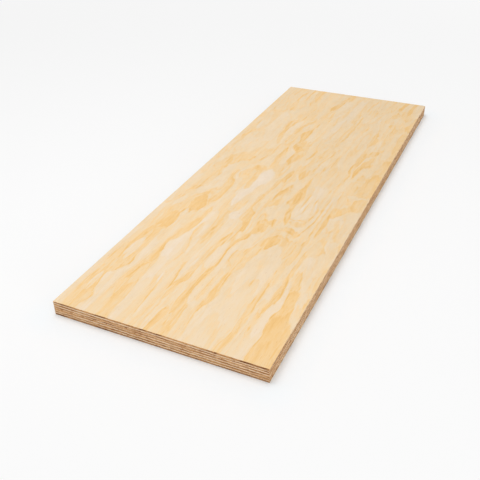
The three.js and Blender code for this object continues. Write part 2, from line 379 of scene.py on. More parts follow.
NEAR_BANDS = (
    (0.2, 0.8, [(6, 0, 7), (76, 0, 7), (125, 0, 7), (204, 1, 9), (236, 1, 9)]),
    (PALE, 0.85, [(6, 33, 41), (26, 33, 41), (46, 26, 41), (66, 22, 41), (72, 23, 42), (82, 34, 43),
     (94, 37, 44), (109, 36, 45), (135, 36, 47), (155, 36, 48)]),
    (0.2, 0.9, [(145, 36, 49), (161, 36, 50), (175, 36, 51), (200, 39, 56), (216, 36, 60), (226, 37, 62),
     (238, 40, 62)]),
    (0.66, 0.75, [(6, 27, 6), (14, 30, 6), (21, 32, 5), (28, 31, 5), (36, 27, 5), (46, 25, 5), (56, 23, 6),
     (66, 22, 7), (74, 21, 8)]),
    (PALE, 0.85, [(32, 16, 20), (46, 14, 21), (56, 15, 21), (66, 16, 19)]),
    (0.68, 0.75, [(68, 28, 14), (76, 31, 10), (82, 35, 8), (91, 38, 7), (101, 37, 7), (115, 35, 7),
     (135, 35, 9), (155, 35, 11), (170, 34, 13), (180, 38, 14), (195, 39, 15), (203, 37, 14), (212, 35, 12),
     (226, 36, 14), (238, 34, 16)]),
    (GOLD, 0.8, [(173, 38, 17), (183, 38, 17), (197, 39, 17), (204, 37, 17), (216, 35, 20)]),
    (PALE, 0.88, [(95, 23, 26), (103, 22, 27), (109, 18, 28), (120, 18, 28), (131, 18, 28), (139, 20, 27),
     (148, 23, 26)]),
    (0.64, 0.75, [(6, 67, 40), (26, 67, 39), (51, 66, 39), (66, 64, 40), (86, 63, 43), (103, 63, 44),
     (113, 61, 46), (123, 58, 48), (130, 57, 49), (137, 55, 49), (146, 54, 50), (155, 56, 50), (161, 59, 51),
     (170, 62, 52), (177, 65, 53), (185, 66, 55), (195, 69, 57), (204, 69, 59), (219, 69, 62),
     (244, 69, 63)]),
    (0.48, 0.8, [(62, 61, 52), (81, 61, 53), (100, 61, 53)]),
    (0.42, 0.75, [(6, 41, 56), (20, 41, 56), (34, 42, 54), (46, 43, 50)]),
    (0.76, 0.7, [(66, 50, 43), (80, 51, 44), (96, 52, 45)]),
    (GOLD, 0.6, [(105, 61, 49), (123, 58, 50), (131, 57, 52), (141, 55, 51), (155, 55, 51), (165, 57, 53)]),
    (-0.1, 0.93, [(113, 63, 75), (123, 59, 76), (131, 58, 77), (138, 56, 77), (146, 55, 76), (154, 57, 75),
     (161, 60, 74), (170, 64, 73), (178, 67, 71), (189, 69, 70)]),
    (PALE, 0.9, [(6, 69, 78), (26, 69, 79), (51, 68, 79), (66, 66, 78), (86, 65, 76), (105, 65, 75),
     (119, 62, 75)]),
    (0, 0.9, [(191, 70, 80), (201, 70, 85), (214, 70, 85), (224, 71, 84), (238, 72, 80)]),
    (PALE, 0.9, [(157, 79, 84), (175, 79, 85), (190, 79, 85), (204, 79, 85)]),
    (0.48, 0.7, [(115, 79, 82), (140, 80, 83), (155, 78, 81), (165, 76, 79), (175, 72, 79), (185, 71, 79),
     (195, 71, 79), (206, 72, 78)]),
    (0.15, 0.85, [(10, 91, 95), (46, 89, 95), (66, 88, 95), (81, 87, 95), (98, 82, 94), (119, 82, 91)]),
    (0.15, 0.85, [(123, 84, 88), (155, 83, 88), (171, 83, 88)]),
    (0.5, 0.8, [(6, 100, 94), (46, 99, 94), (66, 100, 94), (86, 100, 95), (102, 98, 94), (117, 96, 91),
     (135, 95, 89), (155, 97, 89), (165, 98, 88), (175, 99, 85), (190, 99, 85), (204, 99, 85), (216, 98, 85),
     (226, 97, 84), (244, 95, 83)]),
    (0.36, 0.85, [(118, 89, 96), (130, 89, 96), (150, 89, 98), (163, 90, 98)]),
    (0.68, 0.6, [(171, 92, 86), (190, 92, 87), (209, 94, 89)]),
    (0.1, 0.9, [(78, 100, 102), (90, 100, 103), (104, 98, 104), (117, 97, 104), (135, 96, 105),
     (155, 98, 106), (170, 99, 106), (190, 100, 108), (204, 100, 109), (216, 99, 110), (244, 97, 109)]),
    (0.2, 0.9, [(6, 106, 111), (26, 106, 112), (40, 107, 114), (56, 107, 118), (72, 110, 118),
     (86, 113, 118)]),
    (0.65, 0.7, [(48, 105, 102), (60, 106, 102), (70, 107, 101), (78, 108, 101), (86, 110, 102),
     (92, 113, 103), (105, 113, 107), (130, 113, 107), (150, 114, 106), (163, 115, 107), (177, 113, 109)]),
    (0.74, 0.8, [(162, 117, 109), (173, 118, 110), (181, 119, 111), (189, 119, 113), (197, 118, 115)]),
    (0.15, 0.9, [(121, 115, 126), (145, 116, 126), (161, 116, 126), (175, 121, 125)]),
    (0.7, 0.85, [(6, 138, 126), (18, 137, 127), (28, 136, 128), (40, 135, 120), (48, 135, 118),
     (54, 133, 118), (61, 130, 118), (70, 127, 118), (81, 127, 119), (94, 128, 120), (105, 130, 121),
     (117, 131, 123)]),
    (0.9, 0.7, [(32, 126, 121), (66, 127, 121), (96, 127, 122), (121, 129, 125)]),
    (0.85, 0.8, [(6, 112, 119), (16, 112, 120), (28, 112, 122), (40, 113, 123)]),
    (AMBER, 0.8, [(197, 122, 124), (204, 127, 122), (214, 128, 121), (224, 127, 118), (240, 125, 113)]),
    (GOLD, 0.75, [(109, 131, 123), (117, 131, 124), (127, 131, 127), (145, 130, 127), (165, 130, 126),
     (175, 131, 126), (183, 132, 127), (189, 136, 129), (195, 139, 131), (203, 140, 134), (212, 141, 135)]),
    (0.74, 0.9, [(203, 141, 135), (209, 148, 136), (216, 151, 136), (226, 151, 136), (240, 152, 136)]),
    (0.15, 0.92, [(115, 132, 140), (133, 132, 142), (141, 132, 139), (151, 132, 136), (165, 132, 138),
     (177, 133, 140)]),
    (0.3, 0.92, [(159, 142, 147), (171, 138, 147), (179, 135, 150), (189, 139, 153), (200, 142, 156),
     (207, 144, 159), (216, 152, 164), (228, 153, 162)]),
    (0.2, 0.85, [(50, 137, 143), (66, 131, 144), (86, 130, 145), (105, 132, 146), (123, 133, 146)]),
    (HONEY, 0.6, [(64, 140, 136), (80, 141, 135), (96, 140, 136), (111, 139, 137)]),
    (0.72, 0.75, [(40, 147, 142), (51, 149, 143), (58, 150, 144), (63, 153, 144), (68, 155, 145),
     (81, 155, 145), (91, 154, 146), (105, 153, 146), (123, 152, 147)]),
    (0.55, 0.3, [(6, 151, 147), (21, 149, 145), (34, 148, 144), (50, 147, 143)]),
    (0.22, 0.96, [(6, 153, 188), (16, 151, 189), (36, 150, 193), (51, 150, 193), (62, 153, 192),
     (68, 156, 191), (86, 156, 192), (105, 155, 194), (125, 157, 195), (140, 161, 196)]),
    (0.24, 0.96, [(121, 158, 195), (140, 161, 196), (155, 162, 196), (170, 165, 196), (179, 167, 192),
     (193, 176, 184)]),
    (0.56, 0.95, [(111, 153, 149), (120, 153, 149), (126, 155, 147), (132, 158, 145), (138, 160, 142),
     (144, 160, 138), (152, 161, 137), (159, 162, 137), (169, 163, 140)]),
    (0.66, 0.7, [(121, 154, 150), (130, 158, 150), (138, 160, 151), (150, 160, 153), (163, 162, 156)]),
    (0.62, 0.95, [(157, 162, 147), (167, 163, 147), (175, 164, 148), (181, 166, 151), (189, 166, 154),
     (197, 166, 157), (205, 166, 160)]),
    (0.72, 0.9, [(178, 171, 164), (185, 172, 159), (192, 176, 158), (199, 181, 158), (204, 184, 161),
     (210, 182, 165), (216, 178, 170)]),
    (0.62, 0.92, [(170, 197, 192), (176, 199, 190), (183, 200, 188), (189, 200, 184), (195, 200, 178),
     (202, 198, 176), (207, 189, 178), (214, 186, 180)]),
    (0.88, 0.7, [(180, 171, 164), (189, 173, 163), (197, 177, 163), (204, 177, 164), (212, 173, 167)]),
    (0.66, 0.9, [(214, 193, 189), (220, 195, 184), (225, 194, 172), (230, 191, 172), (235, 186, 176)]),
    (0.15, 0.85, [(226, 191, 196), (232, 190, 197), (238, 176, 199), (243, 192, 200)]),
    (0.62, 0.8, [(159, 207, 200), (175, 208, 201), (190, 208, 203), (204, 208, 204), (210, 210, 204),
     (222, 210, 206)]),
    (0.12, 0.9, [(115, 207, 211), (145, 206, 211), (163, 209, 212), (173, 209, 212), (185, 210, 213),
     (195, 210, 214), (204, 210, 217), (212, 212, 218), (222, 213, 220)]),
    (0.68, 0.8, [(111, 218, 211), (123, 218, 212), (135, 217, 211), (150, 217, 211), (163, 217, 212),
     (173, 217, 213), (183, 219, 213), (195, 221, 213)]),
    (0.52, 0.92, [(180, 219, 215), (186, 221, 215), (191, 229, 215), (197, 236, 215), (203, 234, 217),
     (208, 231, 218), (216, 230, 220), (226, 230, 221), (242, 231, 222)]),
    (0.16, 0.95, [(145, 231, 241), (155, 219, 241), (170, 219, 241), (181, 221, 241), (191, 238, 241)]),
    (0.2, 0.92, [(189, 237, 241), (203, 236, 241), (216, 231, 243), (242, 232, 244)]),
    (0.2, 0.9, [(117, 234, 242), (133, 232, 241), (151, 231, 241)]),
    (0.7, 0.85, [(115, 232, 223), (127, 232, 222), (135, 230, 222), (143, 229, 222), (153, 227, 223)]),
    (0.45, 0.95, [(115, 245, 252), (135, 242, 252), (155, 242, 252), (183, 242, 252), (204, 242, 252),
     (219, 245, 252), (242, 242, 252)]),
    (0.64, 0.8, [(6, 198, 188), (16, 199, 190), (24, 200, 192), (34, 201, 194), (46, 199, 194),
     (56, 199, 194), (66, 201, 193), (74, 201, 192), (86, 200, 194), (101, 200, 195), (121, 200, 196)]),
    (CREAM, 0.9, [(6, 201, 210), (36, 202, 208), (66, 202, 205), (96, 202, 209), (119, 202, 210)]),
    (0.52, 0.85, [(30, 212, 209), (42, 212, 207), (51, 211, 206), (66, 211, 206), (74, 212, 206),
     (80, 214, 206), (88, 214, 207)]),
    (0.74, 0.8, [(70, 212, 209), (78, 213, 209), (84, 216, 210), (90, 218, 210), (98, 219, 210),
     (109, 219, 210), (121, 218, 211)]),
    (PALE, 0.93, [(6, 212, 220), (26, 211, 222), (42, 213, 223), (56, 212, 222), (66, 212, 221),
     (74, 213, 222), (81, 216, 224), (89, 219, 225), (101, 220, 224), (119, 219, 223)]),
    (0.88, 0.96, [(6, 221, 254), (16, 222, 254), (26, 223, 254), (36, 224, 254), (46, 223, 253),
     (56, 222, 248), (64, 222, 244), (72, 222, 241), (78, 223, 240), (84, 226, 240), (92, 225, 239),
     (102, 225, 237), (109, 225, 237), (120, 224, 236)]),
    (0.2, 0.92, [(58, 248, 252), (68, 243, 252), (76, 241, 250), (86, 241, 247), (101, 239, 246),
     (119, 238, 247)]),
    (0.6, 0.8, [(78, 247, 252), (119, 247, 252)]),
)
print(len(NEAR_BANDS), "bands in the near length")

# %% [markdown]
# The middle length holds the most restless wood. On the right a branch once stood close by, and the
# rings bend round it in a long whorl: a gold arm on its left, a pale grey heart, and a lip that closes
# it off below. Beside it a gold arch climbs to the right edge. On the left lies a gold cap with a pale
# notch, and further on a big gold flame that goes on in the far length.

# %% The middle length
MIDDLE_BANDS = (
    (0.26, 0.8, [(230, 10, 0), (284, 12, 0), (348, 12, 0)]),
    (0.58, 0.92, [(230, 6, 1), (236, 9, 4), (242, 12, 7), (251, 17, 9), (259, 18, 11), (269, 20, 13),
     (278, 23, 14), (287, 25, 16), (294, 28, 18), (303, 30, 19), (313, 32, 20), (325, 34, 20), (333, 34, 21),
     (341, 31, 21), (355, 31, 19)]),
    (0.2, 0.93, [(230, 12, 20), (244, 14, 23), (254, 18, 25), (266, 20, 29), (279, 24, 39), (289, 28, 45),
     (299, 31, 52), (313, 33, 52), (328, 36, 50), (348, 35, 49), (363, 36, 50), (381, 44, 49)]),
    (0.6, 0.93, [(220, 52, 39), (230, 54, 22), (236, 55, 22), (244, 58, 24), (251, 61, 25), (259, 64, 27),
     (266, 65, 29), (272, 65, 33), (278, 65, 40), (286, 65, 47), (294, 65, 51), (303, 65, 52), (311, 65, 52),
     (317, 63, 51), (323, 60, 50), (329, 57, 50), (338, 55, 49), (348, 55, 49), (357, 57, 51)]),
    (AMBER, 0.8, [(226, 52, 38), (234, 54, 35), (244, 56, 33), (252, 55, 32), (260, 50, 34), (268, 47, 37)]),
    (0.74, 0.8, [(255, 61, 56), (262, 64, 57), (275, 65, 57), (290, 65, 60), (302, 65, 59), (312, 65, 57),
     (320, 62, 54), (330, 57, 50)]),
    (0.32, 0.85, [(259, 49, 53), (266, 47, 54), (274, 46, 55), (281, 46, 56), (287, 47, 57)]),
    (PALE, 0.85, [(230, 56, 64), (242, 60, 66), (254, 64, 69), (266, 67, 70), (284, 67, 74), (299, 67, 73),
     (311, 66, 71), (323, 62, 70), (335, 57, 67), (348, 56, 62), (363, 58, 66), (375, 60, 70)]),
    (0.58, 0.8, [(290, 77, 75.5), (300, 77, 74.5), (312, 78, 73), (325, 79, 71), (340, 79, 70)]),
    (HONEY, 0.92, [(301, 88, 82), (309, 88, 80), (323, 88, 80), (348, 88, 79), (355, 88, 78)]),
    (0.5, 0.85, [(331, 68, 60), (343, 69, 58), (355, 70, 58)]),
    (-0.35, 0.75, [(258, 85, 90), (266, 83, 92), (274, 82, 94), (286, 81, 96), (296, 80, 98), (303, 84, 100),
     (311, 89, 99), (319, 89, 101), (327, 89, 107), (338, 89, 109), (350, 88, 111), (359, 89, 109),
     (367, 92, 106), (376, 97, 101)]),
    (-0.15, 0.9, [(226, 95, 108), (234, 95, 109), (242, 97, 109), (249, 100, 109)]),
    (0.12, 0.9, [(244, 103, 109), (264, 104, 110), (279, 104, 112), (294, 103, 112), (306, 106, 114),
     (318, 110, 116), (333, 112, 117), (348, 113, 118), (363, 115, 119)]),
    (0.68, 0.85, [(226, 124, 110), (244, 124, 110), (254, 122, 111), (258, 117, 112), (268, 115, 111),
     (279, 116, 111), (292, 118, 111), (303, 119, 114), (315, 121, 115), (325, 123, 116), (338, 123, 117),
     (353, 124, 119)]),
    (0.92, 0.8, [(343, 132, 121), (353, 128, 121), (361, 130, 121), (367, 131, 122), (373, 130, 124)]),
    (0.66, 0.85, [(228, 158, 136), (236, 157, 137), (242, 156, 150), (251, 154, 151)]),
    (0.28, 0.93, [(240, 142, 150), (252, 142, 158), (266, 133, 158), (276, 134, 157), (286, 144, 151),
     (303, 147, 152), (323, 148, 153), (348, 146, 156)]),
    (0.66, 0.9, [(269, 132, 128), (275, 135, 126), (281, 143, 126), (289, 143, 129), (295, 143, 137),
     (301, 143, 139)]),
    (0.74, 0.85, [(288, 131, 135), (296, 131, 134), (303, 131, 135), (313, 132, 139), (321, 134, 141),
     (329, 137, 144), (341, 140, 144)]),
    (0.5, 0.85, [(303, 148, 143), (315, 148, 142), (325, 148, 141), (335, 146, 140)]),
    (GOLD, 0.85, [(241, 172, 167), (247, 170, 164), (254, 170, 162), (260, 169, 160), (268, 167, 159),
     (279, 166, 159), (285, 166, 158), (289, 166, 151), (299, 167, 152), (308, 168, 153), (318, 168, 153),
     (328, 166, 154), (338, 164, 157), (353, 163, 158), (367, 162, 159)]),
    (0.98, 0.8, [(294, 165, 157), (308, 165, 156), (328, 163, 156)]),
    (0.04, 0.92, [(254, 172, 186), (260, 170, 189), (268, 168, 191), (279, 168, 189), (289, 173, 188),
     (299, 174, 187), (308, 175, 190), (323, 176, 192), (338, 174, 193), (353, 168, 190)]),
    (0.48, 0.85, [(266, 196, 190), (276, 196, 190), (289, 196, 188), (301, 192, 186), (315, 190, 187)]),
    (0.58, 0.85, [(241, 190, 172), (246, 195, 168), (250, 194, 168), (254, 193, 188)]),
    (0.15, 0.85, [(260, 203, 205), (284, 203, 206), (303, 203, 207), (315, 205, 209), (327, 207, 211),
     (345, 208, 212)]),
    (0.6, 0.8, [(230, 208, 204), (249, 208, 205), (266, 208, 206), (284, 208, 206), (303, 208, 206),
     (315, 209, 207)]),
    (0.8, 0.9, [(226, 216, 211), (249, 217, 211), (259, 218, 211), (268, 217, 211), (279, 216, 212),
     (288, 217, 212), (298, 216, 212)]),
    (0.26, 0.95, [(248, 222, 250), (260, 219, 250), (272, 218, 250), (282, 219, 250), (288, 228, 250),
     (296, 234, 250), (305, 246, 250)]),
    (0.42, 0.8, [(226, 250, 222), (236, 248, 221), (246, 244, 222), (256, 236, 226), (266, 232, 224),
     (276, 231, 225)]),
    (0.76, 0.95, [(280, 225, 213), (288, 227, 212), (295, 231, 212), (301, 236, 213), (305, 246, 217),
     (309, 252, 224)]),
    (0.7, 0.6, [(301, 228, 254), (309, 229, 254), (317, 231, 254), (325, 231, 254), (336, 233, 254)]),
    (0.28, 0.9, [(337, 214, 250), (345, 214, 250), (355, 218, 250)]),
    (0.45, 0.8, [(387, 8, 2), (402, 9, 3), (422, 7, 3)]),
    (0.6, 0.85, [(402, 15, 11), (414, 14, 10), (427, 12, 9), (437, 12, 9), (447, 14, 10), (464, 14, 6),
     (480, 15, 6), (497, 15, 7)]),
    (0.15, 0.85, [(369, 18, 9), (383, 17, 10), (393, 17, 10), (402, 15, 10)]),
    (0.18, 0.9, [(406, 20, 30), (414, 20, 40), (422, 20, 41), (434, 21, 43), (452, 17, 42), (464, 16, 40)]),
    (0.45, 0.8, [(395, 58, 20), (400, 59, 26), (408, 59, 34), (416, 57, 43), (427, 60, 44), (438, 60, 48)]),
    (HONEY, 0.93, [(348, 33, 12), (355, 33, 12), (361, 34, 13), (369, 38, 18), (374, 42, 18), (380, 46, 18),
     (383, 53, 19), (388, 57, 20), (395, 58, 20), (402, 59, 26)]),
    (0.68, 0.75, [(374, 41, 33), (380, 44, 32), (384, 50, 29), (388, 55, 27), (393, 57, 26), (400, 59, 32),
     (406, 60, 46)]),
    (0.6, 0.93, [(341, 86, 59), (349, 87, 60), (355, 88, 61), (361, 88, 64), (367, 89, 67), (373, 92, 69),
     (379, 94, 71)]),
    (0.78, 0.7, [(362, 82, 72), (368, 82, 70), (374, 80, 69), (379, 77, 70)]),
    (0.56, 0.92, [(366, 109, 104), (371, 112, 98), (376, 112, 91), (381, 112, 88), (386, 111, 88),
                  (393, 106, 88)]),
    (0.15, 0.85, [(395, 73, 86), (407, 76, 86), (420, 80, 86), (434, 80, 86)]),
    (0.5, 0.8, [(389, 71, 68), (399, 73, 69), (408, 75, 71), (418, 78, 73), (432, 78, 74), (464, 78, 75)]),
    (0.58, 0.85, [(381, 100, 90), (391, 99, 88), (400, 98, 87), (412, 98, 86), (422, 98, 87), (432, 97, 88),
     (442, 95, 88), (452, 93, 87), (464, 93, 87), (477, 93, 88)]),
    (0.22, 0.93, [(391, 99, 108), (399, 99, 107), (407, 99, 106), (422, 99, 106), (434, 98, 107),
     (443, 98, 106), (451, 98, 99)]),
    (0.7, 0.93, [(397, 112, 116), (401, 109, 117), (406, 106, 118), (414, 106, 121), (426, 107, 124),
     (436, 107, 125), (444, 104, 124), (452, 98, 124), (464, 97, 122), (476, 98, 123)]),
    (0.92, 0.8, [(396, 111, 116), (401, 108, 116), (408, 106, 114), (417, 106, 110), (428, 107, 110)]),
    (AMBER, 0.85, [(440, 106, 114), (446, 101, 116), (454, 98, 115), (466, 98, 112), (478, 98, 110)]),
    (0.46, 0.8, [(348, 117, 112), (363, 117, 113), (378, 119, 115), (395, 119, 115)]),
    (0.62, 0.9, [(369, 131, 125), (375, 140, 125), (383, 150, 126), (391, 150, 128), (400, 140, 130),
     (412, 138, 133)]),
    (0.76, 0.88, [(357, 147, 143), (363, 149, 141), (371, 151, 139), (379, 151, 139), (389, 150, 140)]),
    (0.3, 0.93, [(348, 131, 150), (355, 131, 143), (363, 132, 140), (372, 133, 138)]),
    (0.15, 0.85, [(402, 130, 138), (412, 130, 139), (424, 131, 139), (436, 130, 134)]),
    (0.68, 0.8, [(420, 134, 130), (432, 136, 132), (442, 138, 133), (454, 139, 134), (470, 140, 135)]),
    (0.45, 0.7, [(383, 155, 152), (398, 155, 152), (407, 157, 153), (420, 157, 153), (434, 161, 156),
     (447, 165, 160), (464, 166, 161)]),
    (0.55, 0.8, [(379, 167, 163), (391, 168, 163), (400, 169, 162), (410, 170, 164), (422, 172, 167),
     (434, 174, 170)]),
    (0.46, 0.7, [(412, 175, 171), (427, 176, 172), (442, 175, 171), (464, 178, 174)]),
    (0.34, 0.9, [(349, 172, 190), (383, 176, 190), (422, 180, 192), (472, 182, 194)]),
    (0.66, 0.7, [(375, 204, 201), (387, 205, 201), (399, 205, 201), (405, 204, 200), (414, 203, 199),
     (426, 203, 199), (436, 203, 200)]),
    (0.84, 0.92, [(424, 207, 202), (432, 208, 201), (442, 209, 201), (452, 210, 201), (464, 211, 201),
     (472, 212, 201)]),
    (0.78, 0.93, [(387, 211, 209), (397, 212, 207), (405, 213, 206), (414, 215, 207), (422, 216, 208),
     (428, 219, 209), (431, 222, 210), (434, 225, 210), (440, 225, 210), (445, 223, 211), (452, 225, 217),
     (460, 224, 218), (468, 222, 219)]),
    (0.52, 0.88, [(383, 222, 218), (389, 231, 218), (397, 230, 219), (407, 224, 220)]),
    (0.68, 0.96, [(343, 254, 224), (355, 254, 226), (365, 254, 228), (375, 254, 229), (388, 254, 230),
     (398, 254, 230), (405, 254, 232), (414, 254, 233), (424, 254, 234), (434, 254, 236), (447, 254, 238),
     (467, 254, 239)]),
    (0.55, 0.85, [(343, 230, 212), (355, 230, 211), (367, 229, 213), (376, 227, 218)]),
    (0.3, 0.85, [(373, 217, 231), (379, 214, 230), (387, 214, 222)]),
)
print(len(MIDDLE_BANDS), "bands in the middle length")

# %% [markdown]
# In the far length the wood calms down. A gold flame still burns in the middle and a pale eye lies in
# a gold cup on the left, but most of the lines run on for a hand's breadth or more and lean a little
# to the right, and between them lie long pale fields.

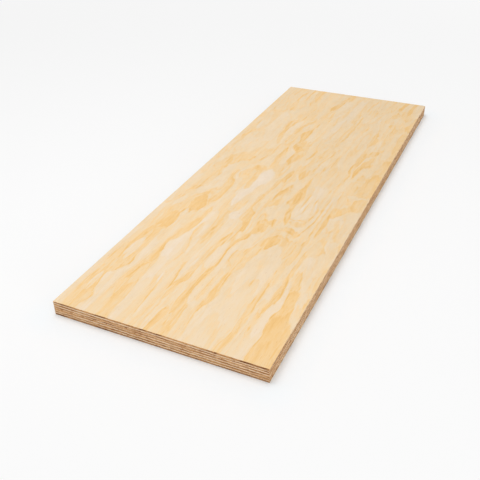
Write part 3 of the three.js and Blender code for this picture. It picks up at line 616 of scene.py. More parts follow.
# %% The far length
FAR_BANDS = (
    (0.2, 0.93, [(460, 41, 60), (482, 40, 60), (501, 33, 59), (531, 33, 56), (561, 34, 62), (585, 36, 60),
     (600, 48, 58)]),
    (0.56, 0.93, [(482, 27, 12), (489, 28, 8), (496, 28, 7), (501, 28, 8), (513, 29, 9), (531, 31, 10),
     (546, 31, 10), (561, 32, 11), (585, 34, 12)]),
    (0.1, 0.93, [(495, 18, 22), (499, 16, 23), (506, 14, 24), (516, 13, 26), (531, 13, 27), (539, 14, 25),
     (549, 13, 22), (561, 13, 20), (577, 13, 18)]),
    (0.5, 0.8, [(541, 9, 3), (556, 9, 2), (569, 8, 2)]),
    (0.25, 0.85, [(464, 16, 27), (476, 16, 27), (486, 20, 28)]),
    (0.66, 0.85, [(457, 73, 68), (464, 72, 66), (474, 70, 63), (485, 69, 61), (497, 67, 60), (506, 67, 60),
     (516, 67, 60), (525, 68, 58), (533, 70, 56), (543, 71, 55), (550, 72, 58), (557, 72, 67)]),
    (0.14, 0.92, [(457, 74, 78), (472, 72, 76), (487, 70, 74), (498, 68, 79), (511, 68, 79), (521, 69, 79),
     (531, 71, 80), (541, 72, 80), (553, 76, 81)]),
    (0.56, 0.85, [(546, 75, 72), (553, 76, 72), (561, 78, 71), (571, 79, 71), (581, 79, 70), (593, 80, 69),
     (604, 80, 70), (616, 80, 71), (625, 77, 72), (634, 74, 73)]),
    (0.48, 0.9, [(457, 92, 82), (472, 92, 82), (487, 92, 82), (501, 91, 81), (509, 90, 81)]),
    (0.6, 0.9, [(499, 86, 81), (509, 86, 81), (517, 87, 81), (527, 88, 81), (536, 90, 82), (543, 92, 84),
     (548, 97, 86), (553, 100, 86), (559, 100, 90), (565, 99, 93), (571, 97, 94)]),
    (0.22, 0.93, [(516, 90, 96), (523, 88, 99), (531, 89, 101), (539, 91, 101), (548, 96, 101)]),
    (0.55, 0.94, [(460, 122, 98), (468, 123, 98), (476, 122, 98), (482, 119, 98), (487, 107, 97),
     (494, 107, 94), (501, 107, 93), (509, 107, 93), (514, 107, 96), (519, 107, 99), (526, 107, 101),
     (534, 107, 102), (541, 109, 102), (551, 109, 102), (559, 109, 100), (567, 117, 100), (576, 119, 101),
     (586, 119, 102)]),
    (0.92, 0.88, [(476, 106, 99), (486, 106, 98), (494, 106, 94), (501, 106, 93), (509, 106, 94),
     (517, 106, 98), (527, 106, 103)]),
    (0.45, 0.7, [(478, 123, 118), (488, 126, 119), (501, 127, 121), (516, 127, 122), (541, 126, 122)]),
    (0.15, 0.93, [(481, 110, 115), (486, 107, 117), (492, 108, 119), (501, 108, 121), (521, 108, 121),
     (536, 109, 121), (549, 110, 121), (561, 112, 121), (571, 119, 124)]),
    (0.45, 0.85, [(546, 129, 124), (556, 131, 124), (566, 133, 125), (581, 134, 126), (600, 138, 131),
     (620, 138, 133), (640, 139, 134), (655, 140, 135), (664, 140, 136)]),
    (PALE, 0.9, [(499, 130, 138), (511, 129, 139), (521, 130, 139), (541, 130, 141), (557, 132, 142),
     (581, 135, 142), (600, 139, 144), (612, 139, 146)]),
    (0.56, 0.8, [(640, 139, 135), (655, 140, 135), (665, 141, 136), (675, 142, 137), (685, 144, 138),
     (693, 146, 141), (699, 147, 142)]),
    (0.48, 0.92, [(457, 141, 135), (467, 141, 135), (476, 150, 136), (484, 151, 138), (491, 150, 144)]),
    (0.48, 0.7, [(501, 143, 140), (515, 142, 139), (529, 143, 140), (546, 145, 142), (561, 145, 142),
     (577, 143, 140)]),
    (0.2, 0.93, [(488, 139, 150), (501, 143, 150), (521, 144, 150), (546, 146, 151), (581, 145, 151),
     (600, 140, 152), (640, 140, 153), (680, 144, 154), (699, 148, 156)]),
    (0.46, 0.8, [(472, 161, 152), (488, 161, 152), (501, 161, 153), (515, 161, 155)]),
    (0.74, 0.7, [(499, 161, 159), (509, 163, 160), (517, 164, 160), (531, 165, 160), (541, 166, 161),
     (551, 167, 162), (561, 166, 162), (571, 166, 163), (591, 166, 163), (608, 166, 163)]),
    (0.55, 0.7, [(460, 180, 177), (472, 179, 176), (487, 179, 176), (501, 179, 176), (516, 179, 176),
     (531, 179, 177), (541, 181, 178), (551, 183, 179), (561, 186, 180), (576, 188, 182)]),
    (0.38, 0.9, [(458, 182, 200), (482, 181, 200), (506, 181, 200), (531, 183, 199), (546, 186, 199)]),
    (0.72, 0.88, [(497, 205, 202), (504, 207, 201), (510, 211, 200), (517, 213, 200), (523, 213, 201),
     (530, 212, 201), (535, 209, 200), (546, 209, 201), (554, 208, 203)]),
    (0.68, 0.9, [(458, 213, 201), (465, 215, 201), (469, 219, 205), (474, 223, 210), (480, 226, 213),
     (485, 229, 218), (490, 230, 221), (496, 230, 226)]),
    (0.52, 0.9, [(501, 224, 220), (509, 225, 220), (517, 227, 219), (531, 228, 218), (546, 228, 218),
     (557, 229, 218), (565, 231, 219), (575, 233, 220), (585, 233, 222)]),
    (0.7, 0.8, [(553, 228, 221), (561, 230, 221), (571, 231, 221), (585, 230, 222)]),
    (0.7, 0.96, [(458, 254, 239), (482, 254, 241), (501, 254, 240), (521, 254, 241), (541, 254, 239),
     (557, 254, 239), (569, 254, 241), (581, 254, 241), (591, 254, 237), (600, 254, 242), (615, 254, 245),
     (640, 254, 246)]),
    (0.66, 0.9, [(577, 226, 212), (585, 225, 213), (591, 224, 214), (596, 223, 217), (604, 221, 219)]),
    (0.34, 0.9, [(596, 204, 216), (604, 204, 240), (612, 207, 240), (620, 208, 228)]),
    (0.45, 0.85, [(606, 19, 4), (618, 20, 3), (632, 20, 3), (646, 19, 8)]),
    (0.5, 0.8, [(660, 24, 18), (672, 25, 19), (685, 27, 21), (699, 29, 22)]),
    (HONEY, 0.8, [(575, 34, 27), (583, 35, 28), (591, 36, 29), (600, 38, 31), (608, 38, 32)]),
    (HONEY, 0.88, [(591, 45, 38), (597, 46, 36), (606, 46, 35), (613, 45, 34), (620, 44, 34), (628, 42, 35),
     (638, 40, 35), (648, 39, 35), (658, 38, 34), (666, 40, 34), (674, 42, 36), (684, 43, 38)]),
    (0.12, 0.85, [(612, 46, 50), (625, 43, 49), (638, 41, 47), (650, 39, 44), (660, 41, 46)]),
    (HONEY, 0.85, [(640, 51, 48), (650, 53, 47), (660, 52, 47), (670, 51, 47), (685, 53, 47),
     (699, 54, 47)]),
    (0.2, 0.88, [(612, 62, 70), (618, 61, 69), (640, 55, 60), (655, 54, 61), (670, 54, 58), (690, 55, 60)]),
    (0.5, 0.9, [(617, 68, 65), (624, 74, 64), (632, 74, 61), (641, 73, 60), (650, 72, 60)]),
    (0.72, 0.92, [(641, 72, 67), (650, 72, 65), (657, 72, 62), (664, 71, 60), (672, 70, 57), (682, 70, 58),
     (699, 72, 61)]),
    (CREAM, 0.9, [(625, 77, 80), (634, 74, 80), (645, 74, 80), (660, 73, 80), (680, 72, 80), (699, 73, 80)]),
    (0.53, 0.93, [(593, 88, 81), (602, 89, 80), (620, 89, 80), (640, 88, 80), (650, 87, 80), (660, 88, 80),
     (668, 92, 81), (680, 95, 81), (690, 96, 81), (699, 97, 80)]),
    (0.6, 0.93, [(575, 110, 102), (591, 110, 102), (600, 109, 102), (612, 112, 102), (620, 114, 102),
     (630, 116, 102), (640, 118, 105), (648, 119, 107), (660, 119, 109), (668, 124, 111), (680, 127, 114),
     (690, 128, 116), (699, 129, 117)]),
    (0.78, 0.85, [(616, 111, 103), (628, 113, 103), (642, 116, 105), (654, 118, 111), (664, 119, 112)]),
    (0.5, 0.85, [(577, 119, 111), (589, 119, 111), (598, 118, 112), (612, 116, 113)]),
    (0.15, 0.9, [(591, 119, 130), (610, 119, 132), (630, 119, 133), (650, 120, 134), (668, 122, 135)]),
    (0.5, 0.8, [(577, 159, 152), (591, 160, 152), (600, 161, 153), (610, 160, 153), (620, 158, 153),
     (630, 157, 153), (645, 156, 153), (660, 157, 154), (675, 158, 155), (699, 160, 156)]),
    (0.18, 0.9, [(610, 161, 166), (625, 158, 164), (640, 157, 163), (660, 158, 163), (680, 159, 165),
     (699, 161, 168)]),
    (0.5, 0.85, [(630, 167, 163), (645, 167, 163), (655, 168, 164), (665, 170, 164), (675, 172, 167),
     (686, 173, 169), (699, 177, 171)]),
    (0.46, 0.8, [(596, 172, 167), (612, 172, 167), (630, 172, 168), (644, 172, 168)]),
    (0.52, 0.85, [(608, 182, 177), (616, 183, 176), (625, 185, 174), (635, 186, 173), (645, 186, 174),
     (655, 185, 178)]),
    (0.4, 0.85, [(650, 196, 172), (670, 196, 174), (690, 196, 178), (699, 196, 180)]),
    (0.46, 0.6, [(577, 190, 181), (587, 190, 181), (596, 191, 184), (606, 192, 188), (615, 192, 188),
     (625, 194, 190), (636, 197, 192), (648, 200, 195), (660, 200, 195), (680, 201, 195), (699, 202, 195)]),
    (0.12, 0.88, [(596, 192, 196), (612, 193, 197), (625, 195, 199), (638, 198, 201)]),
    (0.5, 0.7, [(575, 204, 200), (591, 205, 201), (606, 207, 203), (618, 209, 205), (630, 211, 207)]),
    (0.48, 0.8, [(644, 206, 202), (665, 207, 203), (685, 209, 205), (699, 210, 206)]),
    (0.66, 0.9, [(620, 214, 210), (627, 219, 209), (634, 222, 208), (640, 220, 210), (646, 218, 212),
     (652, 217, 214)]),
    (0.78, 0.9, [(655, 217, 213), (662, 218, 211), (670, 219, 211), (680, 221, 213), (690, 223, 215),
     (699, 224, 216)]),
    (0.66, 0.93, [(615, 239, 231), (621, 241, 228), (628, 241, 225), (636, 240, 222), (645, 238, 220),
     (652, 236, 219), (659, 235, 221)]),
    (0.78, 0.88, [(645, 236, 229), (658, 236, 228), (670, 236, 228), (685, 237, 230), (699, 240, 232)]),
)
FACE_BANDS = NEAR_BANDS + MIDDLE_BANDS + FAR_BANDS
print(len(FACE_BANDS), "bands in all")

# %% [markdown]
# Round a knot the rings turn back on themselves, which no band along the grain can do. So thin curves
# are drawn over the bands: dark summer lines, and the pale ones that lie beside them. Each has its
# change of tone and the points (x, y) that it runs through, in millimetres.

# %% Thin curves in the near length
NEAR_LINES = (
    (0.5, [(18, 41), (18, 35), (18.5, 28)]),
    (0.4, [(21, 68), (22, 58), (24, 48), (25.5, 39), (27.5, 33)]),
    (0.3, [(14, 64), (13.5, 52), (14, 40)]),
    (0.35, [(30, 31), (31.5, 24), (31.5, 16)]),
    (0.5, [(15, 123), (16, 113), (17, 103), (17.5, 96)]),
    (0.5, [(21.5, 109), (21.5, 102)]),
    (0.35, [(29, 115), (28.5, 105), (28, 98)]),
    (0.4, [(34, 111), (35.5, 104), (36.5, 96), (37, 88)]),
    (0.35, [(8, 123), (8.5, 105), (8.5, 88)]),
    (0.4, [(28, 78), (29, 72)]),
    (0.3, [(21, 78), (21.5, 72)]),
    (0.35, [(51.5, 96), (50.5, 88), (50, 81), (48.5, 74)]),
    (-0.3, [(67.5, 14), (67.5, 36), (66, 54), (64.5, 68), (64, 98)]),
    (-0.8, [(81.5, 91), (82.5, 82), (83.5, 73)]),
    (0.45, [(84, 84), (85.5, 76), (86, 66), (87.5, 48), (89, 32), (89.5, 18)]),
    (0.6, [(96.5, 104), (98, 96), (99.5, 84), (100, 74), (100, 66)]),
    (0.3, [(99.5, 54), (99.5, 36), (99, 18)]),
    (0.4, [(103, 87), (101.5, 80), (101, 73)]),
    (-0.3, [(118, 78), (118.5, 62), (117, 50)]),
    (-0.4, [(19, 119), (18.5, 129), (19.5, 138)]),
    (-0.3, [(26, 143), (27.5, 133), (28, 119)]),
    (0.3, [(19, 157), (20, 150)]),
    (0.35, [(38, 191), (37.5, 181), (36, 173)]),
    (0.3, [(34.5, 218), (34, 210), (34.5, 204)]),
    (0.55, [(35.5, 229), (35.5, 223), (35, 217)]),
    (0.5, [(43, 217), (44, 222), (41, 228)]),
    (-0.5, [(39, 227), (39, 221)]),
    (-0.4, [(48, 227), (46, 220)]),
    (0.45, [(54, 147), (55, 139), (56.5, 131), (57, 126)]),
    (-0.4, [(68, 183), (69, 191), (70.5, 201), (70.5, 216)]),
    (0.45, [(91, 200), (91, 193)]),
    (0.3, [(94.5, 191), (94, 183)]),
    (0.4, [(102.5, 136), (102, 127), (101, 118)]),
    (-0.5, [(104.5, 132), (105, 124), (105, 117)]),
    (0.35, [(71, 182), (74, 171), (78, 161), (80.5, 152), (83, 142)]),
    (0.6, [(116.5, 193), (114, 184), (112, 174)]),
    (0.4, [(117, 177), (117, 168)]),
    (0.5, [(120.5, 175), (121.5, 185), (122.5, 195), (123.5, 204)]),
    (0.4, [(113.5, 158), (114, 147), (113, 139)]),
    (0.5, [(128.5, 165), (128.5, 153), (129.5, 141), (130, 127)]),
    (0.45, [(131.5, 177), (133.5, 185), (137.5, 192), (139, 201)]),
    (0.35, [(149.5, 218), (149, 211), (147, 208), (144, 208)]),
    (0.4, [(140, 165), (138, 157), (137.5, 147), (139.5, 139), (144, 131)]),
    (0.45, [(148, 163), (148.5, 169), (149.5, 174)]),
    (-0.3, [(149.5, 177), (153, 185), (155.5, 195)]),
    (0.4, [(162, 159), (163, 167), (163, 177)]),
    (0.4, [(166.5, 182), (170, 181), (173, 188), (176, 193)]),
    (0.35, [(184, 210), (187, 206), (189.5, 203)]),
    (0.3, [(164, 202), (168, 209), (172, 213)]),
    (0.45, [(197, 210), (196.5, 203)]),
    (0.5, [(205.5, 213), (205, 204)]),
    (0.35, [(208, 177), (208, 187), (207.5, 197)]),
    (0.55, [(206.5, 236), (206.5, 223)]),
    (-0.35, [(219, 165), (219, 151), (218, 137)]),
    (0.45, [(215, 135), (216.5, 127), (217.5, 119)]),
    (-0.4, [(218.5, 129), (219.5, 119)]),
    (0.4, [(197, 147), (197, 139)]),
    (0.35, [(232, 131), (232.5, 119)]),
    (-0.3, [(231, 224), (231, 214), (233, 206), (237, 199), (238, 189)]),
    (0.35, [(186, 223), (180, 226), (175, 227)]),
    (0.3, [(172, 226), (166, 225), (163.5, 230)]),
    (0.45, [(156.5, 227), (155, 235)]),
    (0.3, [(142, 220), (145, 214)]),
    (0.3, [(137, 236), (136.5, 226)]),
    (-0.4, [(129, 68), (131, 62), (133.5, 55)]),
    (0.5, [(126.5, 22), (127, 14)]),
    (0.35, [(134, 16), (135.5, 8)]),
    (0.4, [(147, 96), (147, 86), (146.5, 76)]),
    (0.3, [(146, 66), (146, 56)]),
    (0.35, [(151.5, 119), (151.5, 109), (152.5, 98)]),
    (0.3, [(149, 63), (150, 54)]),
    (0.3, [(147, 48), (148, 36), (149.5, 22), (151.5, 8)]),
    (0.3, [(154, 61), (154.5, 54)]),
    (0.4, [(199, 117), (199, 104), (199, 92), (200, 80), (200.5, 68)]),
    (0.3, [(199.5, 44), (200, 33)]),
    (0.35, [(195, 93), (194.5, 81)]),
    (0.3, [(190.5, 19), (190.5, 11)]),
    (0.5, [(217, 119), (218, 107), (218.5, 96)]),
    (-0.3, [(220, 117), (220, 102), (218.5, 90)]),
    (0.45, [(208.5, 46), (209.5, 39)]),
    (0.55, [(224.5, 118), (225, 109), (225, 100)]),
    (0.4, [(223.5, 77), (222.5, 72), (222, 66)]),
    (-0.4, [(238, 102), (239, 94), (240.5, 86)]),
    (0.3, [(235, 34), (236, 23)]),
    (0.45, [(246.5, 104), (247, 93)]),
    (0.4, [(180, 122), (180, 108)]),
)
print(len(NEAR_LINES), "curves in the near length")

# %% [markdown]
# In the middle length the curves follow the whorl: its arms, the bright lip below its grey heart, and
# the lines that run through that heart. Further left they trace the swirl, the hairpin and the cap.

# %% Thin curves in the middle length
MIDDLE_LINES = (
    (0.35, [(14.5, 246), (15.5, 252), (16.5, 258)]),
    (0.4, [(22, 280), (24, 286), (24.5, 291)]),
    (0.4, [(34, 337), (34, 331), (33, 325)]),
    (-0.3, [(36, 335), (35, 343), (33.5, 349)]),
    (0.3, [(25.5, 260), (26, 252)]),
    (0.35, [(61, 318), (58.5, 323), (55.5, 331)]),
    (0.3, [(48, 291), (51, 287), (54, 291)]),
    (0.3, [(79, 284), (80.5, 278)]),
    (-0.35, [(78.5, 295), (78.5, 286)]),
    (-0.35, [(80.5, 316), (80.5, 302)]),
    (0.35, [(116, 290), (115.5, 280), (115, 272), (114.5, 264), (116, 258)]),
    (-0.4, [(56, 291), (55, 284), (55, 279)]),
    (0.45, [(117, 257), (120, 255), (122.5, 252), (123.5, 244), (123.5, 234)]),
    (0.3, [(115, 301), (117, 296)]),
    (0.4, [(133.5, 242), (133.5, 250), (135, 254), (138, 253), (140, 247), (142, 240), (147, 237)]),
    (0.45, [(152, 246), (153.5, 238), (156, 230)]),
    (0.5, [(132, 293), (132, 301), (132.5, 310)]),
    (0.35, [(134, 315), (136.5, 322), (139.5, 330)]),
    (0.35, [(145.5, 321), (143, 330), (141.5, 339)]),
    (0.3, [(152.5, 285), (153, 294)]),
    (0.35, [(159.5, 345), (158.5, 337), (156.5, 329)]),
    (0.35, [(161.5, 278), (162, 268), (162.5, 260)]),
    (0.45, [(163.5, 256), (165.5, 250), (168.5, 245)]),
    (0.35, [(166.5, 268), (168.5, 260), (170.5, 255)]),
    (0.3, [(168, 229), (173, 233), (179, 234), (186, 230), (191, 224)]),
    (0.5, [(171, 257), (173.5, 254), (177, 254)]),
    (0.6, [(180, 255), (182, 255), (184, 257), (187, 258)]),
    (-0.45, [(173, 252), (177, 250), (181, 252), (184, 253), (188, 253)]),
    (0.7, [(175, 322), (174.5, 309), (174, 298), (173, 280)]),
    (-0.4, [(176.5, 298), (176, 288), (175, 278)]),
    (0.7, [(180.5, 304), (179.5, 286), (180, 270)]),
    (0.6, [(187.5, 313), (186.5, 306), (186, 299)]),
    (-0.8, [(188.5, 308), (190.5, 298), (192, 290), (193, 283)]),
    (0.4, [(194.5, 296), (195.5, 288), (196, 279)]),
    (0.55, [(195.5, 273), (194.5, 266), (193.5, 259)]),
    (0.45, [(192.5, 256), (191.5, 249)]),
    (-0.3, [(197.5, 266), (197.5, 254), (195.5, 247)]),
    (0.6, [(193, 221), (195.5, 232), (198.5, 245), (200.5, 254), (201.5, 264), (201.5, 278), (201.5, 294)]),
    (0.3, [(201, 260), (200.5, 253)]),
    (0.5, [(203, 324), (203, 315), (202, 307)]),
    (-0.5, [(206.5, 331), (205, 320), (204, 309), (204, 298)]),
    (0.3, [(212, 334), (211.5, 321)]),
    (0.5, [(213.5, 285), (214, 277), (214.5, 271)]),
    (-0.35, [(218, 276), (218.5, 264), (217.5, 252), (217, 240)]),
    (0.4, [(222.5, 334), (224.5, 327)]),
    (0.3, [(226.5, 244), (227.5, 233)]),
    (0.4, [(195, 348), (194.5, 335)]),
    (0.45, [(16.5, 428), (16.5, 418), (19.5, 412), (22, 407)]),
    (-0.3, [(13, 426), (13, 414), (14, 406)]),
    (0.3, [(32, 448), (32, 436)]),
    (0.35, [(27.5, 436), (28.5, 429)]),
    (0.4, [(37, 460), (36.5, 452)]),
    (0.35, [(26.5, 383), (25.5, 373), (25, 364)]),
    (0.45, [(32.5, 360), (32, 350)]),
    (-0.3, [(34.5, 365), (34.5, 351)]),
    (0.35, [(41, 383), (41.5, 373)]),
    (0.3, [(50, 389), (56, 387)]),
    (0.45, [(57.5, 404), (58.5, 395)]),
    (0.35, [(69, 391), (70, 398), (71.5, 406)]),
    (0.3, [(77, 412), (76.5, 426), (77, 442), (77, 460)]),
    (0.35, [(74, 370), (78, 369)]),
    (0.4, [(110, 388), (111.5, 379), (111, 370)]),
    (-0.3, [(99, 395), (103, 391), (106, 389)]),
    (0.4, [(91.5, 451), (93, 444), (95, 436)]),
    (0.4, [(140.5, 375), (141, 367), (143, 361), (146, 360), (148, 364)]),
    (-0.4, [(146.5, 394), (146, 384)]),
    (0.4, [(132, 428), (131, 420)]),
    (0.3, [(136.5, 450), (136, 440)]),
    (0.35, [(150, 440), (149, 432)]),
    (0.35, [(147.5, 426), (149, 416)]),
    (0.35, [(153.5, 399), (154, 389)]),
    (0.3, [(154.5, 414), (155.5, 407)]),
    (0.45, [(156.5, 420), (158.5, 430), (161, 439), (163.5, 446), (164.5, 460)]),
    (0.4, [(166, 403), (166.5, 396)]),
    (-0.35, [(167.5, 395), (167.5, 383)]),
    (0.35, [(173.5, 415), (174.5, 430), (173.5, 440), (175.5, 454)]),
    (0.3, [(184, 399), (188, 401), (189.5, 394), (190, 383)]),
    (0.35, [(201, 371), (198.5, 361), (196, 350)]),
    (0.55, [(200.5, 432), (200.5, 420), (200.5, 410)]),
    (0.5, [(212, 420), (212, 412), (210, 404)]),
    (0.4, [(209.5, 404), (210.5, 395)]),
    (0.4, [(214, 430), (214, 420)]),
    (-0.3, [(214, 412), (216, 422), (218, 428), (221, 430)]),
    (0.5, [(218.5, 431), (221, 435), (223.5, 436)]),
    (0.35, [(224, 372), (226, 365)]),
    (0.3, [(218.5, 399), (218.5, 387)]),
)
print(len(MIDDLE_LINES), "curves in the middle length")

# %% [markdown]
# The curves of the far length are mostly long ones, and lean to the right with the rest.

# %% Thin curves in the far length
FAR_LINES = (
    (0.35, [(14, 478), (16, 488), (19, 495), (22, 497), (25, 491)]),
    (0.4, [(16, 561), (16.5, 550)]),
    (0.35, [(20.5, 478), (21, 470)]),
    (0.45, [(67.5, 496), (66, 507), (66, 517), (66.5, 523)]),
    (-0.35, [(69.5, 528), (68, 519), (67.5, 507), (68.5, 497)]),
    (0.35, [(68, 531), (68.5, 541)]),
    (0.45, [(76, 576), (77, 568), (76, 561)]),
    (0.4, [(79.5, 474), (80.5, 467)]),
    (0.4, [(92, 551), (95, 557), (96.5, 564)]),
    (0.4, [(99.5, 488), (100.5, 480), (101.5, 472)]),
    (0.45, [(105, 535), (105.5, 525), (106.5, 515), (106, 507)]),
    (0.45, [(107.5, 554), (107.5, 541)]),
    (0.35, [(118.5, 575), (118, 563)]),
    (0.35, [(138.5, 552), (138.5, 545)]),
    (0.45, [(184.5, 550), (185.5, 557), (186.5, 567)]),
    (0.35, [(204.5, 543), (208, 542)]),
    (0.35, [(215, 503), (216, 494)]),
    (0.35, [(214, 480), (213, 473)]),
    (0.45, [(224, 486), (224.5, 478)]),
    (0.35, [(221, 477), (221.5, 470)]),
    (0.4, [(225, 567), (227.5, 561)]),
    (0.35, [(10.5, 595), (12.5, 589), (14.5, 583)]),
    (0.35, [(22.5, 622), (23, 610)]),
    (0.35, [(34.5, 628), (35, 618)]),
    (0.35, [(49.5, 648), (49.5, 658), (49, 668), (49.5, 682), (51, 693)]),
    (0.4, [(54, 630), (52.5, 636)]),
    (0.35, [(61.5, 638), (63, 629), (65.5, 623)]),
    (0.35, [(75.5, 648), (77, 641)]),
    (0.35, [(84.5, 612), (86.5, 603)]),
    (0.35, [(117.5, 660), (117, 648)]),
    (0.35, [(117, 686), (118.5, 676)]),
    (0.35, [(170.5, 684), (171, 675)]),
    (0.35, [(184, 640), (182.5, 630)]),
    (0.35, [(202, 658), (203, 646)]),
    (0.35, [(212, 636), (216, 636)]),
    (0.4, [(213.5, 670), (216.5, 665)]),
    (0.4, [(242.5, 636), (243, 627)]),
)
FACE_LINES = NEAR_LINES + MIDDLE_LINES + FAR_LINES
print(len(FACE_LINES), "curves in all")

# %% [markdown]
# Drawn this way alone, the bands would look cut out with scissors. Real bands follow single fibres,
# so their edges are ragged along the grain like flames. Before a band is drawn, every point is pushed
# aside a little by noise, about a millimetre across the grain and a few along it. Faint streaks and
# clouds go on top. The last number of each call is a seed, so that no two noises are alike.
#
# The result is one number for every point, the tone: 0 for pale spring wood, 1 for gold. Two more come
# with it: the years say where the finest ring lines run, and the shade says how much greyer the wood
# is painted. It greys at random here and there, and on the whole towards the far end and the right,
# which is painted shade for the lamp's light falling off there, and in part the wood's own tone.

# %% The figure of the face
HALF_WIDTH = 1000 * cad_high.x
HALF_LENGTH = 1000 * cad_high.y
FIGURE_START = (0.3, 0.8)  # mm from the sheet's near left corner to where the bands are counted from
RAGGED_ALONG = ((2.5, 6, 40), (2.0, 2.5, 18), (1.0, 1.2, 7))
RAGGED_ACROSS = ((0.5, 9, 20), (0.5, 4, 9), (0.4, 2, 5), (0.25, 1.1, 3))
STREAKS = ((0.05, 8, 140), (0.05, 2.6, 60), (0.05, 1.2, 40), (0.05, 0.8, 18))
CLOUDS = ((0.06, 9, 24), (0.08, 4, 11), (0.08, 1.8, 5), (0.08, 1.0, 3))
SHADES = ((0.12, 18, 60), (0.16, 6, 20), (0.20, 2.5, 6))
# Painted shade for the lamp's falloff towards the far end and the right, in part the wood's own tone
FAR_PAINTED_SHADE, FAR_REACH = 0.30, (120, 400)  # mm from the near end, between which it grows
RIGHT_PAINTED_SHADE, RIGHT_REACH, RIGHT_START = 0.46, (60, 180), (40, 240)  # mm from the left, and from the end
YEARS_PER_TONE = 3.2
HILLS = ((1.6, 24, 170), (0.5, 8, 50))


def layers(sizes, x, y, seed):
    """Noise in several sizes at once, each given as (strength, mm across, mm along)."""
    total = 0
    for number, (strength, wide, long) in enumerate(sizes):
        total = total + strength * smooth_noise(x / wide, y / long, seed + number)
    return total


def ragged(x, y, seed):
    """Points pushed aside as the fibres wander: a little across the grain, and far along it."""
    return x + layers(RAGGED_ACROSS, x, y, seed), y + layers(RAGGED_ALONG, x, y, seed + 10)


def drawn_figure(x, y):
    """Tone, years and shade of the good face at points x, y, in millimetres from its middle."""
    x, y = x + HALF_WIDTH - FIGURE_START[0], y + HALF_LENGTH - FIGURE_START[1]
    across, along = ragged(x, y, 1)
    tone = np.full(x.shape, BASE_TONE)
    for band in FACE_BANDS:
        draw_band(tone, across, along, *band)
    years = YEARS_PER_TONE * tone + layers(HILLS, across, along, 41)
    across, along = (across + x) / 2, (along + y) / 2
    for line in FACE_LINES:
        draw_line(tone, across, along, *line)
    tone = tone + layers(STREAKS, across, along, 51) + layers(CLOUDS, across, along, 61)
    # Painted shade towards the far end and the right, and random greying of the wood
    shade = FAR_PAINTED_SHADE * soft_step(*FAR_REACH, along)
    shade = shade + RIGHT_PAINTED_SHADE * soft_step(*RIGHT_START, along) * soft_step(*RIGHT_REACH, across)
    return tone, years, shade + layers(SHADES, across, along, 71)


# %% [markdown]
# The back is the plainer side. Nobody chose its figure, so noise may: the height of a smooth, long
# stretched landscape is counted in rings, and each ring climbs slowly from cream to gold and drops
# back at once, which is what summer wood does. Its bands come out as broad arches and islands.

# %% The figure of the back
BACK_RINGS = 1.5  # rings for each unit of the landscape's height
LANDSCAPE = ((3.0, 80, 520), (1.1, 30, 190), (0.35, 11, 80))
BACK_SPRING, BACK_SUMMER = 0.1, 0.8  # the tone of spring wood, and what summer wood adds to it
CLIMB, DROP = (0.15, 0.9), (0.94, 1.0)  # shares of a ring where summer wood comes, and stops
PATCH_BASE, PATCHES = 0.8, ((0.3, 40, 150),)  # how strong the bands are, here and there
BACK_SHADE = 0.3
BACK_YEARS = 3  # fine ring lines for each broad ring


def grown_figure(x, y):
    """Tone, years and shade of the back at points x, y, as seen from below."""
    across, along = ragged(x + HALF_WIDTH, y + HALF_LENGTH, 21)
    height = layers(LANDSCAPE, across, along, 31)
    ring = (height * BACK_RINGS) % 1.0
    tone = BACK_SPRING + BACK_SUMMER * soft_step(*CLIMB, ring) * (1 - soft_step(*DROP, ring))
    tone = tone * (PATCH_BASE + layers(PATCHES, across, along, 34))
    tone = tone + layers(STREAKS, across, along, 81) + layers(CLOUDS, across, along, 91)
    shade = BACK_SHADE + layers(SHADES, across, along, 101)
    return tone, height * BACK_RINGS * BACK_YEARS, shade


# %% [markdown]
# The veneers lie on each other like cards, so all of them share one outline. It is walked once round
# the sheet in short steps, called columns here. Each column knows where it is as a share of the half
# sizes, so any outline a little inside the first one is the same walk on a smaller rectangle, and its
# corners stay mitred. The steps are finer across the ends than along the edges, for wood changes
# slowly along its grain, except where the rings swirl past a knot just above or below.

# %% The walk round the sheet
CELLS_ACROSS, CELLS_ALONG = 320, 235
STEPS_ACROSS, STEPS_ALONG = 1, 3  # columns to each cell of the face's grid
END_COLUMNS = CELLS_ACROSS * STEPS_ACROSS
EDGE_COLUMNS = CELLS_ALONG * STEPS_ALONG

RULER_MARKS = 2001  # places where the lengths of cells are added up
# (mm along the sheet, mm of a cell's length there)
CELL_LENGTHS = ((0, 3.0), (200, 3.0), (220, 1.8), (330, 1.8), (350, 3.0), (440, 3.4), (700, 4.4))


def place_along(share):
    """Where along the sheet that share of all cells lies behind, from -1 at the near end to 1."""
    y = np.linspace(0, 2 * HALF_LENGTH, RULER_MARKS)
    density = 1 / np.interp(y, *np.array(CELL_LENGTHS).T)
    passed = np.append(0, np.cumsum(density[1:] + density[:-1]))
    return np.interp(share, passed / passed[-1], y) / HALF_LENGTH - 1


going_across = np.linspace(-1, 1, END_COLUMNS, endpoint=False)
edge_shares = np.linspace(0, 1, EDGE_COLUMNS, endpoint=False)
ends, edges = np.ones(END_COLUMNS), np.ones(EDGE_COLUMNS)
column_x = np.concatenate([going_across, edges, -going_across, -edges])
column_y = np.concatenate([-ends, place_along(edge_shares), ends, place_along(1 - edge_shares)])
on_end = np.concatenate([ends, 0 * edges, ends, 0 * edges])  # 1 on the two short ends
COLUMNS = len(column_x)
step_x = np.diff(column_x, append=column_x[0]) * HALF_WIDTH
step_y = np.diff(column_y, append=column_y[0]) * HALF_LENGTH
step = np.hypot(step_x, step_y)
walked = np.cumsum(step) - step
print(COLUMNS, "columns round", round(step.sum()), "mm")


def outline(inset):
    """x and y of every column, that many millimetres inside the sheet's outline."""
    return column_x * (HALF_WIDTH - inset), column_y * (HALF_LENGTH - inset)


# %% [markdown]
# A panel saw leaves a different edge on each veneer. Where it cuts across the fibres, their ends tear
# a little and the surface is dull and pitted. Where it runs along them, the cut is smoother. The
# teeth leave faint upright ridges on both, and here and there a splinter is missing. A tenth of a
# millimetre is already much of this, but it is real shape, so the meshes have it too.

